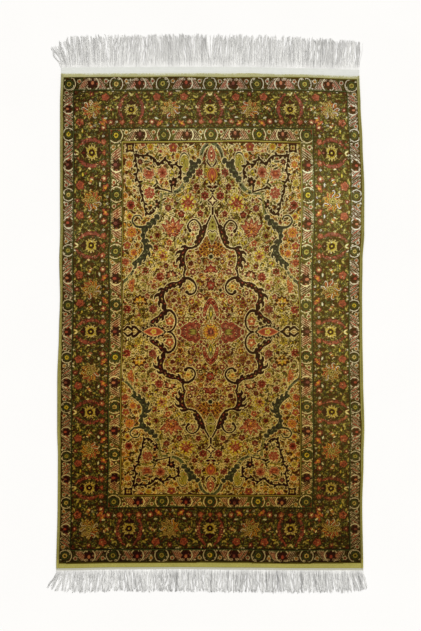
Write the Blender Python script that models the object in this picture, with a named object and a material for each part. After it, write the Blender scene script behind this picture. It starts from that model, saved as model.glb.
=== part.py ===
"""A hand-knotted silk rug that lies flat.

It has five pieces. The knotted body carries the pile. A selvedge is overcast along each of its
sides. At each end the warps run on through a narrow flat-woven band and lie free as a fringe.

Metres, +Z up. The origin is the middle of the underside, which lies in the plane z = 0.
+Y points along the rug's length to its far end.
"""

import math

import bmesh
import bpy

# Driving sizes
RUG_WIDTH = 0.950
RUG_LENGTH = 1.550
PILE_THICKNESS = 0.0030
PILE_EDGE_ROUNDING = 0.0008
SELVEDGE_WIDTH = 0.0050
SELVEDGE_HEIGHT = 0.0034
SELVEDGE_FLATNESS = 1.06
SELVEDGE_SHARP_DEGREES = 50
BAND_THICKNESS = 0.0013
SEAM_GAP = 0.0003

# Worked out from them
HALF_LENGTH = RUG_LENGTH / 2
HALF_PILE_WIDTH = RUG_WIDTH / 2 - SELVEDGE_WIDTH - SEAM_GAP
BAND_REACH = 1 + (SEAM_GAP + SELVEDGE_WIDTH) / HALF_PILE_WIDTH

# How fine the outlines are cut
SIDE_STATIONS = 40
END_STATIONS = 26
SELVEDGE_CORNERS = 10

# A handmade rug is never quite straight. Columns: place along the length, then how far the
# left and the right side lie outside the straight line there.
SIDE_WANDER = (
    (-0.775, 0.0035, -0.0028),
    (-0.590, 0.0005, -0.0045),
    (-0.440, 0.0005, 0.0005),
    (-0.340, 0.0035, 0.0038),
    (-0.190, 0.0042, 0.0010),
    (-0.040, 0.0000, -0.0003),
    (0.060, -0.0026, -0.0002),
    (0.180, 0.0008, 0.0020),
    (0.270, -0.0012, 0.0080),
    (0.410, 0.0002, 0.0092),
    (0.560, 0.0013, 0.0045),
    (0.680, 0.0018, -0.0008),
    (0.775, -0.0006, -0.0040),
)

# Columns: share of the half width from the middle, then how far the near and the far end lie
# outside the straight line there.
END_WANDER = (
    (-1.0, 0.0010, 0.0000),
    (-0.6, -0.0018, 0.0014),
    (-0.2, -0.0026, 0.0024),
    (0.2, -0.0012, 0.0016),
    (0.6, 0.0004, -0.0018),
    (1.0, 0.0006, -0.0072),
)

# The fringe. Columns: share of the half width from the middle, lean to the right in degrees,
# and length of the locks there.
FAR_LOCKS = (
    (-1.00, -34.0, 0.074),
    (-0.97, -19.0, 0.090),
    (-0.92, -5.0, 0.104),
    (-0.55, 1.5, 0.107),
    (-0.15, -2.0, 0.108),
    (0.25, 3.0, 0.107),
    (0.60, 1.0, 0.104),
    (0.90, 3.0, 0.099),
    (1.00, 5.0, 0.096),
)
NEAR_LOCKS = (
    (-1.00, -33.0, 0.062),
    (-0.96, -16.0, 0.068),
    (-0.90, -4.0, 0.071),
    (-0.35, 1.0, 0.071),
    (0.15, -2.0, 0.072),
    (0.60, 3.0, 0.072),
    (0.90, 7.0, 0.070),
    (0.97, 13.0, 0.066),
    (1.00, 18.0, 0.062),
)

# Columns: name, direction along Y, length of the flat-woven band, the locks
ENDS = (
    ("fringe_far", 1, 0.022, FAR_LOCKS),
    ("fringe_near", -1, 0.009, NEAR_LOCKS),
)

LOCKS_PER_STATION = 5
LOCK_COUNT = LOCKS_PER_STATION * END_STATIONS
LOCK_SEGMENTS = 4
LOCK_ROOT_SHARE = 0.62
LOCK_TIP_WIDTH = 0.0017
LOCK_TIP_THICKNESS = 0.0008
LOCK_BEND = 1.25
LOCK_LENGTH_SPREAD = 0.0040
LENGTH_WAVE = 2.4
CLUMP_WIDTH = 0.044
CLUMP_PULL = 0.20
LEAN_SPREAD = 0.0006
LEAN_WAVE = 5.1

# Columns: material, base colour, roughness
FINISHES = {
    "silk_pile": ((0.27, 0.22, 0.09), 0.55),
    "olive_silk": ((0.38, 0.36, 0.14), 0.50),
    "white_silk": ((0.80, 0.80, 0.77), 0.45),
}


def clear_scene():
    """Removes whatever the scene holds at the start."""
    for obj in list(bpy.data.objects):
        bpy.data.objects.remove(obj)


def smooth_between(table, place, column):
    """The table's value at a place, easing from row to row. The first column holds the places."""
    if place <= table[0][0]:
        return table[0][column]
    for low, high in zip(table, table[1:]):
        if place <= high[0]:
            share = (place - low[0]) / (high[0] - low[0])
            share = share * share * (3 - 2 * share)
            return low[column] + (high[column] - low[column]) * share
    return table[-1][column]


def side_edge(side, along):
    """X of the pile's side edge, with side -1 on the left and 1 on the right."""
    column = 1 if side < 0 else 2
    return side * (HALF_PILE_WIDTH + smooth_between(SIDE_WANDER, along, column))


def cloth_point(across, along):
    """A point of the pile's outline. Both shares run from -1 to 1 over the cloth."""
    straight = along * HALF_LENGTH
    left, right = side_edge(-1, straight), side_edge(1, straight)
    x = (left + right) / 2 + across * (right - left) / 2
    column = 1 if along < 0 else 2
    return x, straight + along * smooth_between(END_WANDER, across, column)


def material(name):
    """The named finish as a Principled material."""
    colour, roughness = FINISHES[name]
    made = bpy.data.materials.get(name) or bpy.data.materials.new(name)
    made.use_nodes = True
    shader = made.node_tree.nodes["Principled BSDF"]
    shader.inputs["Base Color"].default_value = (*colour, 1.0)
    shader.inputs["Roughness"].default_value = roughness
    shader.inputs["Metallic"].default_value = 0.0
    return made


def add_object(name, mesh_builder, finish):
    """Turns a bmesh into a named object in the scene."""
    bmesh.ops.recalc_face_normals(mesh_builder, faces=mesh_builder.faces)
    mesh = bpy.data.meshes.new(name)
    mesh_builder.to_mesh(mesh)
    mesh_builder.free()
    mesh.materials.append(material(finish))
    obj = bpy.data.objects.new(name, mesh)
    bpy.context.scene.collection.objects.link(obj)
    return obj


def shares(count):
    """Evenly spaced shares from -1 towards 1, leaving the last one to the next side."""
    return [-1 + 2 * step / count for step in range(count)]


def pile_outline():
    """The cloth's outline, anticlockwise from its near left corner."""
    near = [cloth_point(share, -1) for share in shares(END_STATIONS)]
    right = [cloth_point(1, share) for share in shares(SIDE_STATIONS)]
    far = [cloth_point(-share, 1) for share in shares(END_STATIONS)]
    left = [cloth_point(-1, -share) for share in shares(SIDE_STATIONS)]
    return near + right + far + left


def build_pile():
    """The knotted cloth: a flat slab whose upper edge the pile rounds off."""
    builder = bmesh.new()
    corners = [builder.verts.new((x, y, 0)) for x, y in pile_outline()]
    foot = builder.faces.new(corners)
    raised = bmesh.ops.extrude_face_region(builder, geom=[foot])
    top = next(item for item in raised["geom"] if isinstance(item, bmesh.types.BMFace))
    bmesh.ops.translate(builder, verts=top.verts, vec=(0, 0, PILE_THICKNESS))
    rim = list(top.edges)
    bmesh.ops.bevel(
        builder,
        geom=rim,
        offset=PILE_EDGE_ROUNDING,
        segments=2,
        profile=0.5,
        affect="EDGES",
        clamp_overlap=True,
    )
    return add_object("knotted_body", builder, "silk_pile")


def selvedge_section():
    """Corners of the selvedge's section, an oval with a flat foot, as offsets and heights."""
    points = []
    for corner in range(SELVEDGE_CORNERS):
        angle = 2 * math.pi * (corner + 0.5) / SELVEDGE_CORNERS - math.pi / 2
        out = SELVEDGE_WIDTH / 2 * math.cos(angle)
        height = SELVEDGE_HEIGHT / 2 * (1 + SELVEDGE_FLATNESS * math.sin(angle))
        points.append((out, min(max(height, 0.0), SELVEDGE_HEIGHT)))
    lowest = min(height for _, height in points)
    return [(out, height - lowest) for out, height in points]


def build_selvedge(name, side):
    """The overcast edge: the selvedge's section carried along one side of the cloth."""
    builder = bmesh.new()
    middle = side * (SEAM_GAP + SELVEDGE_WIDTH / 2)
    rings = []
    for share in shares(SIDE_STATIONS) + [1.0]:
        x, y = cloth_point(side, share)
        ring = [builder.verts.new((x + middle + out, y, height)) for out, height in selvedge_section()]
        rings.append(ring)
    for ring, following in zip(rings, rings[1:]):
        for corner in range(SELVEDGE_CORNERS):
            after = (corner + 1) % SELVEDGE_CORNERS
            builder.faces.new((ring[corner], ring[after], following[after], following[corner]))
    builder.faces.new(rings[0])
    builder.faces.new(rings[-1])
    selvedge = add_object(name, builder, "olive_silk")
    selvedge.data.shade_smooth()
    selvedge.data.set_sharp_from_angle(angle=math.radians(SELVEDGE_SHARP_DEGREES))
    return selvedge


def band_point(direction, across, distance):
    """A point of the band, at a distance past the cloth's end.

    Across runs from -1 to 1 over the cloth, and on to BAND_REACH over the selvedge's end.
    """
    inside = max(-1.0, min(1.0, across))
    x, y = cloth_point(inside, direction)
    return x + (across - inside) * HALF_PILE_WIDTH, y + direction * distance


def lock_share(index):
    """Where a lock stands between the band's left side, -1, and its right side, 1."""
    return -1 + (2 * index + 1) / LOCK_COUNT


def lock_run(index, direction, root, locks):
    """How far a lock drifts to the right by its tip, and how far it reaches along Y."""
    share = lock_share(index)
    lean = math.radians(smooth_between(locks, share, 1))
    length = smooth_between(locks, share, 2)
    length -= LOCK_LENGTH_SPREAD * (0.5 + 0.5 * math.sin(LENGTH_WAVE * index + direction))
    clump = CLUMP_WIDTH * math.floor(root / CLUMP_WIDTH + 0.5)
    drift = length * math.sin(lean) + CLUMP_PULL * (clump - root)
    drift += LEAN_SPREAD * math.sin(LEAN_WAVE * index + 2 * direction)
    return drift, length * math.cos(lean)


def lock_rings(builder, index, end, root_ring):
    """The rings of one lock from its root ring out to its tip, all resting on z = 0."""
    _, direction, _, locks = end
    left, right = root_ring[0].co, root_ring[1].co
    root, start, root_width = (left.x + right.x) / 2, (left.y + right.y) / 2, right.x - left.x
    drift, reach = lock_run(index, direction, root, locks)
    rings = [root_ring]
    for step in range(1, LOCK_SEGMENTS + 1):
        share = step / LOCK_SEGMENTS
        x = root + drift * share**LOCK_BEND
        y = start + direction * reach * share
        half = (root_width + (LOCK_TIP_WIDTH - root_width) * share) / 2
        top = BAND_THICKNESS + (LOCK_TIP_THICKNESS - BAND_THICKNESS) * share
        corners = ((x - half, 0), (x + half, 0), (x + half, top), (x - half, top))
        rings.append([builder.verts.new((cx, y, cz)) for cx, cz in corners])
    return rings


def join_rings(builder, rings):
    """Skins the rings of four corners each, and closes the last one."""
    for ring, following in zip(rings, rings[1:]):
        for corner in range(4):
            after = (corner + 1) % 4
            builder.faces.new((ring[corner], ring[after], following[after], following[corner]))
    builder.faces.new(rings[-1])


def wall(builder, edge):
    """The upright faces under a run of the band's edge, given as pairs of foot and top."""
    for here, beyond in zip(edge, edge[1:]):
        builder.faces.new((here[0], beyond[0], beyond[1], here[1]))


def build_fringe(end):
    """A flat-woven band whose outer edge runs out into the locks of the fringe."""
    name, direction, band_length, _ = end
    builder = bmesh.new()

    def upright(across, distance):
        """A foot vertex and the vertex above it."""
        x, y = band_point(direction, across, distance)
        return builder.verts.new((x, y, 0)), builder.verts.new((x, y, BAND_THICKNESS))

    stations = [-BAND_REACH] + shares(END_STATIONS)[1:] + [BAND_REACH]
    inner = [upright(across, SEAM_GAP) for across in stations]
    half_root = LOCK_ROOT_SHARE / LOCK_COUNT
    outer = [upright(-BAND_REACH, band_length)]
    for index in range(LOCK_COUNT):
        for side in (-half_root, half_root):
            outer.append(upright((lock_share(index) + side) * BAND_REACH, band_length))
    outer.append(upright(BAND_REACH, band_length))

    # The band's faces, one pair above and below for each station, and its upright edges
    roots = 2 * LOCKS_PER_STATION
    for station in range(END_STATIONS):
        first = station * roots + 1 if station else 0
        last = (station + 1) * roots + 1 if station < END_STATIONS - 1 else len(outer) - 1
        for level in (0, 1):
            side = [pair[level] for pair in outer[first : last + 1]]
            builder.faces.new([inner[station][level]] + side + [inner[station + 1][level]])
    wall(builder, inner)
    wall(builder, [inner[0], outer[0], outer[1]])
    wall(builder, [inner[-1], outer[-1], outer[-2]])
    for index in range(1, LOCK_COUNT):
        wall(builder, outer[2 * index : 2 * index + 2])

    for index in range(LOCK_COUNT):
        left, right = outer[2 * index + 1], outer[2 * index + 2]
        root_ring = [left[0], right[0], right[1], left[1]]
        join_rings(builder, lock_rings(builder, index, end, root_ring))
    return add_object(name, builder, "white_silk")


def build_rug():
    """All five pieces of the rug."""
    clear_scene()
    build_pile()
    build_selvedge("selvedge_left", -1)
    build_selvedge("selvedge_right", 1)
    for end in ENDS:
        build_fringe(end)


build_rug()
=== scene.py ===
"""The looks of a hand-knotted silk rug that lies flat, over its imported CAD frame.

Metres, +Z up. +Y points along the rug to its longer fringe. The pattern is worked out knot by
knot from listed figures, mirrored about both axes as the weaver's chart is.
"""

import math
from collections import namedtuple

import bmesh
import bpy
import numpy as np
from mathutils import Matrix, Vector


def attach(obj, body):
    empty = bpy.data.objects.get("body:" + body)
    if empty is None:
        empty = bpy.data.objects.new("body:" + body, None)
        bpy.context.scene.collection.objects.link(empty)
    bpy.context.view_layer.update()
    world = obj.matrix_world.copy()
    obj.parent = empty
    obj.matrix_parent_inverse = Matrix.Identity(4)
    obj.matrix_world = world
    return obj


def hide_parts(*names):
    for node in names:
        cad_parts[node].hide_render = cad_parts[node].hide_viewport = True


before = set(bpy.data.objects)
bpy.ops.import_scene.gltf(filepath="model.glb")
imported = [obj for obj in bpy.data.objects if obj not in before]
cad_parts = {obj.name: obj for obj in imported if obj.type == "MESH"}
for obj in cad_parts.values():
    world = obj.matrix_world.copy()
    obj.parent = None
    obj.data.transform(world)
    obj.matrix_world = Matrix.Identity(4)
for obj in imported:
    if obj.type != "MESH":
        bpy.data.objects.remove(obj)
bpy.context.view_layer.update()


# Layout of the pattern, in design millimetres from the medallion's middle: each band's inner and
# outer line at the rug's sides and at its ends
Band = namedtuple("Band", "side_in side_out end_in end_out")
FIELD = Band(0.0, 277.5, 0.0, 552.0)
INNER_GUARD = Band(277.5, 316.5, 552.0, 589.0)
MAIN_BORDER = Band(316.5, 431.0, 589.0, 718.0)
OUTER_GUARD = Band(431.0, 462.5, 718.0, 755.5)
RIM = Band(462.5, 474.0, 755.5, 776.0)
BANDS = (FIELD, INNER_GUARD, MAIN_BORDER, OUTER_GUARD, RIM)

# Size of the cells that the pattern is painted in
CELL = 0.625

# Seeds of what chance decides: the places of small figures, the yarns of the first quarter, the
# dye of each knot, the winding of the selvedges, and the weave of the bands
LAYOUT_SEED = 7
QUARTER_SEED = 31
KNOT_SEED = 5
SELVEDGE_SEED = 40
BAND_SEED = 60

# Yarns of the pile: red, green and blue as the eye sees them, from 0 to 255
YARNS = {
    "gold": (142, 102, 28),
    "ink": (30, 5, 4),
    "plum": (54, 13, 13),
    "mauve": (102, 50, 32),
    "rose": (130, 50, 28),
    "pink": (152, 86, 46),
    "crimson": (86, 15, 8),
    "brick": (108, 44, 24),
    "red": (128, 58, 30),
    "orange": (164, 84, 36),
    "amber": (177, 117, 29),
    "lemon": (170, 138, 30),
    "olive": (94, 81, 22),
    "moss": (66, 60, 16),
    "green": (37, 27, 4),
    "night": (15, 9, 2),
    "teal": (54, 60, 24),
    "slate": (42, 37, 20),
    "cream": (204, 174, 100),
    "pearl": (194, 176, 116),
    "sand": (158, 128, 52),
    "brown": (54, 19, 4),
    "straw": (132, 113, 38),
    "flax": (138, 129, 70),
    "sage": (104, 96, 52),
    "tan": (180, 158, 104),
    "honey": (158, 112, 28),
}
YARN_NUMBER = {name: number for number, name in enumerate(YARNS)}


def smooth_route(points, step=0.5):
    """Places about a step apart on a smooth curve through the points."""
    points = np.asarray(points, float)
    padded = np.vstack((2 * points[0] - points[1], points, 2 * points[-1] - points[-2]))
    pieces = []
    for a, b, c, d in zip(padded, padded[1:], padded[2:], padded[3:]):
        count = max(int(np.hypot(*(c - b)) / step), 2)
        t = np.linspace(0, 1, count, endpoint=False)[:, None]
        bend = 2 * a - 5 * b + 4 * c - d
        twist = -a + 3 * b - 3 * c + d
        pieces.append(0.5 * (2 * b + (c - a) * t + bend * t**2 + twist * t**3))
    return np.vstack(pieces + [points[-1:]])


def half_widths(widths, count):
    """Half widths at places along a route, from widths that are spaced evenly along it."""
    return np.interp(np.linspace(0, 1, count), np.linspace(0, 1, len(widths)), widths) / 2


def polar(start, distance, degrees):
    """The place at a distance and in a direction from another."""
    angle = math.radians(degrees)
    return start[0] + distance * math.cos(angle), start[1] + distance * math.sin(angle)


class Chart:
    """One quarter of the pattern: the number of the yarn knotted in each cell.

    Figures are added to an open shape, as the depth of each cell inside them, and lay() knots
    the shape in its layers of yarn. The frame turns and mirrors what is drawn in it.
    """

    OUTSIDE = -99.0
    MARGIN = 4.0
    STEPS_AT_ONCE = 16

    def __init__(self, width, length, seed):
        shape = (int(length / CELL) + 1, int(width / CELL) + 1)
        self.everywhere = tuple(slice(0, count) for count in shape)
        self.cells = np.zeros(shape, np.uint8)
        self.depth = np.full(shape, self.OUTSIDE, np.float32)
        self.box = None
        self.dye = np.random.default_rng(seed)
        self.move((0.0, 0.0))

    def move(self, origin, heading=0.0, flip=1):
        """Sets the frame: its origin, its heading in degrees, and -1 to mirror it."""
        self.origin, self.heading, self.flip = origin, math.radians(heading), flip

    def place(self, ahead, aside):
        """Where a place of the frame lies on the chart."""
        cos, sin = math.cos(self.heading), math.sin(self.heading)
        u = self.origin[0] + ahead * cos - self.flip * aside * sin
        return u, self.origin[1] + ahead * sin + self.flip * aside * cos

    def window(self, low, high):
        """The slices of the cells between two corners, or None where there are none."""
        rows = slice(max(int(low[1] / CELL), 0), min(int(high[1] / CELL) + 1, self.cells.shape[0]))
        columns = slice(max(int(low[0] / CELL), 0), min(int(high[0] / CELL) + 1, self.cells.shape[1]))
        if rows.start >= rows.stop or columns.start >= columns.stop:
            return None
        return rows, columns

    def cell_places(self, window):
        """Where the middles of a window's cells lie: across as a row, and along as a column."""
        rows, columns = (np.arange(part.start, part.stop) + 0.5 for part in window)
        return columns[None, :] * CELL, rows[:, None] * CELL

    def deepen(self, window, depth):
        """Adds depths to the open shape, whose box grows to hold their window."""
        self.depth[window] = np.maximum(self.depth[window], depth)
        self.box = window if self.box is None else tuple(
            slice(min(old.start, new.start), max(old.stop, new.stop))
            for old, new in zip(self.box, window)
        )

    def add(self, at, reach, turn, depth_of):
        """Adds a figure whose depth_of(ahead, aside) is positive inside it."""
        u, v = self.place(*at)
        reach += self.MARGIN
        window = self.window((u - reach, v - reach), (u + reach, v + reach))
        if window is None:
            return
        u_cells, v_cells = self.cell_places(window)
        angle = self.heading + self.flip * math.radians(turn)
        cos, sin = math.cos(angle), math.sin(angle)
        ahead = (u_cells - u) * cos + (v_cells - v) * sin
        aside = self.flip * ((v_cells - v) * cos - (u_cells - u) * sin)
        self.deepen(window, depth_of(ahead, aside))

    def lay(self, *layers):
        """Knots the open shape. Each layer is how far it reaches past the edge, and its yarn."""
        if self.box is None:
            return
        depth, cells = self.depth[self.box], self.cells[self.box]
        for reach, yarn in layers:
            cells[depth > -reach] = YARN_NUMBER[yarn]
        self.depth[self.box] = self.OUTSIDE
        self.box = None

    def pick(self, *yarns):
        """One of the yarns, by the dyer's chance."""
        return yarns[int(self.dye.integers(len(yarns)))]

    # Figures. Those with a cleft have notches that are that share of their size deep

    def disc(self, at, size, stretch=1.0, turn=0.0):
        """A disc, or an oval that is stretched along its turn."""
        self.add(at, size * max(stretch, 1), turn, lambda x, y: size - np.hypot(x / stretch, y))

    def lobes(self, at, size, count, cleft, turn=0.0):
        """Round petals, with clefts between them."""

        def depth_of(x, y):
            edge = size * (1 - cleft * np.abs(np.sin(count * np.arctan2(y, x) / 2)) ** 2.5)
            return edge - np.hypot(x, y)

        self.add(at, size, turn, depth_of)

    def star(self, at, size, count, waist):
        """Pointed rays round a middle, which has the waist's share of the size."""

        def depth_of(x, y):
            ray = np.abs(np.mod(np.arctan2(y, x) * count / (2 * np.pi) + 0.5, 1) - 0.5) * 2
            return size * (1 - (1 - waist) * np.minimum(ray * 1.6, 1)) - np.hypot(x, y)

        self.add(at, size, 0.0, depth_of)

    def leaf(self, at, length, width, turn, belly=0.8):
        """A pointed leaf that starts at its place, widest nearer to it for a belly under 1."""

        def depth_of(x, y):
            share = np.clip(x / length, 0, 1)
            past = np.maximum(np.maximum(-x, x - length), 0)
            return width / 2 * np.sin(np.pi * share**belly) - np.abs(y) - past

        self.add(at, length, turn, depth_of)

    def fan(self, at, size, count, spread, turn, cleft):
        """Petals that open like a fan over a spread in degrees."""
        half = math.radians(spread) / 2

        def depth_of(x, y):
            angle = np.arctan2(y, x)
            notch = np.abs(np.sin((angle / half + 1) * np.pi * count / 2 + np.pi / 2))
            inside = (half - np.abs(angle)) * np.maximum(np.hypot(x, y), 1.0)
            return np.minimum(size * (1 - cleft * notch) - np.hypot(x, y), inside)

        self.add(at, size, turn, depth_of)

    def stroke(self, points, *widths):
        """A line through the points, with its widths spaced evenly along it."""
        route = smooth_route([self.place(*point) for point in points])
        radii = half_widths(widths, len(route))
        for start in range(0, len(route), self.STEPS_AT_ONCE):
            steps = slice(start, start + self.STEPS_AT_ONCE + 1)
            part, part_radii = route[steps], radii[steps]
            reach = part_radii.max() + self.MARGIN
            window = self.window(part.min(0) - reach, part.max(0) + reach)
            if window is None:
                continue
            u_cells, v_cells = self.cell_places(window)
            away = np.hypot(u_cells - part[:, 0, None, None], v_cells - part[:, 1, None, None])
            self.deepen(window, (part_radii[:, None, None] - away).max(0))

    # Flowers. Their yarns go from the petals in

    def floret(self, at, size, petal, eye, rim="cream"):
        """A small round flower."""
        self.lobes(at, size, 5, 0.2, self.dye.uniform(0, 72))
        self.lay((1.4, rim), (0, "brown"), (-1.5, petal), (-0.55 * size, eye))

    def daisy(self, at, size, petal, heart, eye, count, rim="cream"):
        """Petals round a heart with an eye."""
        self.lobes(at, size, count, 0.42)
        self.lay((1.2, rim), (0, "brown"), (-1.1, petal))
        self.disc(at, size * 0.45)
        self.lay((0.9, rim), (0, heart))
        self.disc(at, size * 0.17)
        self.lay((0, eye))

    def rose(self, at, size, outer, middle, heart, rim="cream", turn=0.0):
        """A blown flower: three rings of petals."""
        self.lobes(at, size, 7, 0.24, turn)
        self.lay((1.3, rim), (0, "brown"), (-1.2, outer))
        self.lobes(at, size * 0.66, 5, 0.35, turn + 20)
        self.lay((1.0, "brown"), (0, middle))
        self.lobes(at, size * 0.32, 4, 0.3, turn)
        self.lay((0.6, outer), (0, heart))

    def palmette(self, at, size, turn, outer, middle, heart, rim="cream"):
        """A fan of petals above a cup."""
        self.fan(at, size, 7, 230, turn, 0.25)
        self.lay((1.4, rim), (0, "brown"), (-1.3, outer))
        self.fan(at, size * 0.68, 5, 210, turn, 0.3)
        self.lay((1.2, "brown"), (0, middle))
        self.leaf(at, size * 0.55, size * 0.34, turn)
        self.lay((0.7, outer), (0, heart))

    def cup(self, at, size, turn, petal, heart, rim):
        """A half-open flower seen from the side."""
        self.fan(at, size, 3, 150, turn, 0.3)
        self.disc(at, size * 0.35)
        self.lay((1.2, rim), (0, petal))
        self.leaf(at, size * 0.7, size * 0.3, turn)
        self.lay((0, heart))


# Which way a band runs in the quarter, in degrees
UP_THE_SIDE, ALONG_THE_END = 90.0, 0.0


def band_run(band, intervals, first):
    """The stops of a band in one quarter: half intervals up its side, and then along its end.

    Each stop is its place, what stands there (0 or 1 by turns), and which way the band runs.
    """
    middle_u, middle_v = (band.side_in + band.side_out) / 2, (band.end_in + band.end_out) / 2
    side, end = intervals
    up = [((middle_u, middle_v * k / side), (first[0] + k) % 2, UP_THE_SIDE) for k in range(side + 1)]
    over = [((middle_u * k / end, middle_v), (first[1] + k) % 2, ALONG_THE_END) for k in range(end + 1)]
    return up, over


def at_stops(chart, stops):
    """Moves the frame to each stop, with aside away from the middle, and gives what stands there."""
    for place, kind, run in stops:
        chart.move(place, run, -1 if run == UP_THE_SIDE else 1)
        yield kind


def between_stops(chart, stops):
    """The same for each half interval, from either end of it and heading to the other end."""
    for pair in zip(stops, stops[1:]):
        for (place, kind, run), (toward, _, _) in (pair, pair[::-1]):
            ahead = sum(toward) > sum(place)
            chart.move(place, run if ahead else run + 180.0, -1 if (run == UP_THE_SIDE) == ahead else 1)
            yield kind


def paint_guard(chart, band, intervals, pale):
    """A guard border: green rosettes and burgundy blossoms by turns, with leaf strokes between."""
    widths = (band.side_out - band.side_in, band.end_out - band.end_in)
    for stops, width in zip(band_run(band, intervals, (1, 0)), widths):
        half = width / 2
        length = math.dist(stops[0][0], stops[1][0])
        for kind in between_stops(chart, stops):
            if kind == 0:
                guard_rosette_side(chart, half, length, pale)
            else:
                guard_blossom_side(chart, half, pale)
        for kind in at_stops(chart, stops):
            if kind == 0:
                guard_rosette(chart, half)
            else:
                guard_blossom(chart, half)
    chart.move((0.0, 0.0))


def guard_rosette(chart, half):
    """The dark green disc with its small pale ring."""
    chart.disc((0, 0), half * 0.80)
    chart.lay((0, "night"), (-1.2, "green"), (-2.4, "teal"), (-4.6, "night"))
    chart.lobes((0, 0), half * 0.42, 8, 0.16)
    pale = chart.pick("lemon", "sand", "straw")
    chart.lay((0, pale), (-half * 0.20, "ink"), (-half * 0.34, "amber"))


# In half widths of a guard border: the bracket beside a rosette, and the calyx beside a blossom
BRACKET = ((0.30, -0.98), (0.80, -0.78), (1.10, 0), (0.80, 0.78), (0.30, 0.98))
CALYX = ((0.50, -0.92), (0.86, -0.56), (1.04, 0), (0.86, 0.56), (0.50, 0.92))


def guard_rosette_side(chart, half, length, pale):
    """The pale bracket beside the rosette, and the leaf strokes that lean away from it."""
    start, reach = half * 1.75, length - half * 3.1
    for k in range(4):
        yarn = ("red", "brick", "brown", "rose")[(k + int(chart.dye.integers(4))) % 4]
        chart.leaf((start + reach * k / 3, -half * 0.82), half * 1.95, 3.4, 56, 1.0)
        chart.lay((1.7, pale), (0.9, "brown"), (0, yarn))
    chart.floret((half * 1.72, half * 0.42), 5.2, chart.pick("orange", "amber", "red"), "crimson", pale)
    chart.stroke([(half * x, half * y) for x, y in BRACKET], 1.8, 2.4, 1.8)
    chart.lay((1.3, "night"), (0, pale))


def guard_blossom(chart, half):
    """The black and burgundy blossom that reaches across the band, with a dusty heart."""
    for turn in (28, 90, 152, 208, 270, 332):
        chart.leaf((0, 0), half * 0.96, half * 0.50, turn)
    chart.disc((0, 0), half * 0.46)
    chart.lay((0.8, "brown"), (0, "ink"), (-3.6, "plum"), (-5.4, "ink"))
    chart.disc((0, half * 0.18), half * 0.22, 1.4, 90)
    chart.lay((0, chart.pick("rose", "pink", "mauve")))


def guard_blossom_side(chart, half, pale):
    """The pale calyx beside the blossom."""
    chart.stroke([(half * x, half * y) for x, y in CALYX], 2.0, 4.2, 2.0)
    chart.lay((1.3, "brown"), (0, pale))


def paint_main_border(chart):
    """The broad border: gold rosettes and ringed medallions by turns, with flowers between."""
    half_widths_inside = (57.0, 64.0)
    runs = list(zip(band_run(MAIN_BORDER, (5, 3), (0, 0)), half_widths_inside))
    for stops, half in runs:
        for kind in between_stops(chart, stops):
            if kind == 0:
                medallion_growth(chart, half)
            else:
                rosette_growth(chart, half)
    for stops, half in runs:
        for kind in at_stops(chart, stops):
            if kind == 0:
                border_medallion(chart, half)
            else:
                border_rosette(chart)
    chart.move((0.0, 0.0))


def beads(chart, radius, count, size, first=0):
    """Adds a ring of small discs about the frame's origin to the open shape."""
    for k in range(count):
        chart.disc(polar((0, 0), radius, first + 360 / count * (k + 0.5)), size)


# The line that curls round one petal of the great rosette
PETAL_CURL = ((9, -3.5), (15, -3.0), (21, 1.0), (27, 1.8), (31, -1.5), (29.5, -5.5))


def border_rosette(chart):
    """The great rosette: nine curled petals in tan and orange round a pale heart."""
    petals = 9
    for k in range(petals):
        angle = 360 / petals * k + 10
        chart.lobes(polar((0, 0), 21.0, angle), 7.6, 3, 0.2, angle)
        chart.leaf(polar((0, 0), 10, angle), 14, 7.5, angle)
        petal = chart.pick("amber", "sand", "orange")
        chart.lay((1.6, "brown"), (0, petal), (-2.6, "crimson"), (-4.4, "orange"))
        cos, sin = math.cos(math.radians(angle)), math.sin(math.radians(angle))
        chart.stroke([(x * cos - y * sin, x * sin + y * cos) for x, y in PETAL_CURL], 1.4, 2.0, 2.2, 1.6)
        chart.lay((1.3, "brown"), (0, chart.pick("sand", "tan", "sand")))
    chart.disc((0, 0), 11.0)
    chart.lay((1.2, "brown"), (0, "sand"), (-2.0, "brown"), (-3.4, "olive"))
    chart.star((0, 0), 7.5, 6, 0.6)
    chart.lay((0, "sand"), (-2.2, "moss"))
    chart.disc((0, 0), 2.6)
    chart.lay((0, "night"))


def border_medallion(chart, half):
    """The ringed medallion, with black palmettes across the border and a pale leaf outside."""
    count = 14
    chart.lobes((0, 0), 22.0, count, 0.12)
    chart.lay((1.6, "ink"), (0, "sand"))
    beads(chart, 19.0, count, 2.4)
    chart.lay((0, "ink"))
    chart.disc((0, 0), 12.5)
    chart.lay((0.8, "brown"), (0, "lemon"), (-2.2, "brown"), (-3.2, "ink"), (-9.6, "lemon"))
    for side in (-1, 1):
        chart.fan((0, side * 20), 17.0, 3, 230, side * 90, 0.36)
        chart.disc((0, side * 24), 9.0)
        chart.lay((1.0, "straw"), (0, "ink"))
        chart.leaf((0, side * 21), 12, 4.0, side * 90)
        chart.lay((0, chart.pick("plum", "mauve", "crimson")))
    for side in (-1, 1):
        chart.leaf((0, half * 0.70), 17, 6.4, 90 - side * 30)
    chart.lay((0.9, "green"), (0, "straw"), (-1.2, "cream"))
    chart.cup((0, -half * 0.62), 10.0, -90, "red", "orange", "brown")
    for side in (-1, 1):
        chart.leaf((side * 7, -half * 0.60), 11, 4.4, -90 + side * 62)
    chart.lay((0.6, "night"), (0, "moss"))


def bloom(chart, at, size, turn, petal, heart):
    """A red flower of the border, half open, with a dark heart behind."""
    chart.disc(polar(at, -size * 0.5, turn), size * 0.42)
    chart.lay((0.8, "plum"), (0, "ink"))
    chart.lobes(at, size, 5, 0.2, turn + 36)
    chart.lay((1.3, "brown"), (0, petal), (-size * 0.42, heart))
    for spread in (-38, 0, 38):
        chart.leaf(at, size * 0.8, size * 0.2, turn + spread)
    chart.lay((0, petal))


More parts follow.
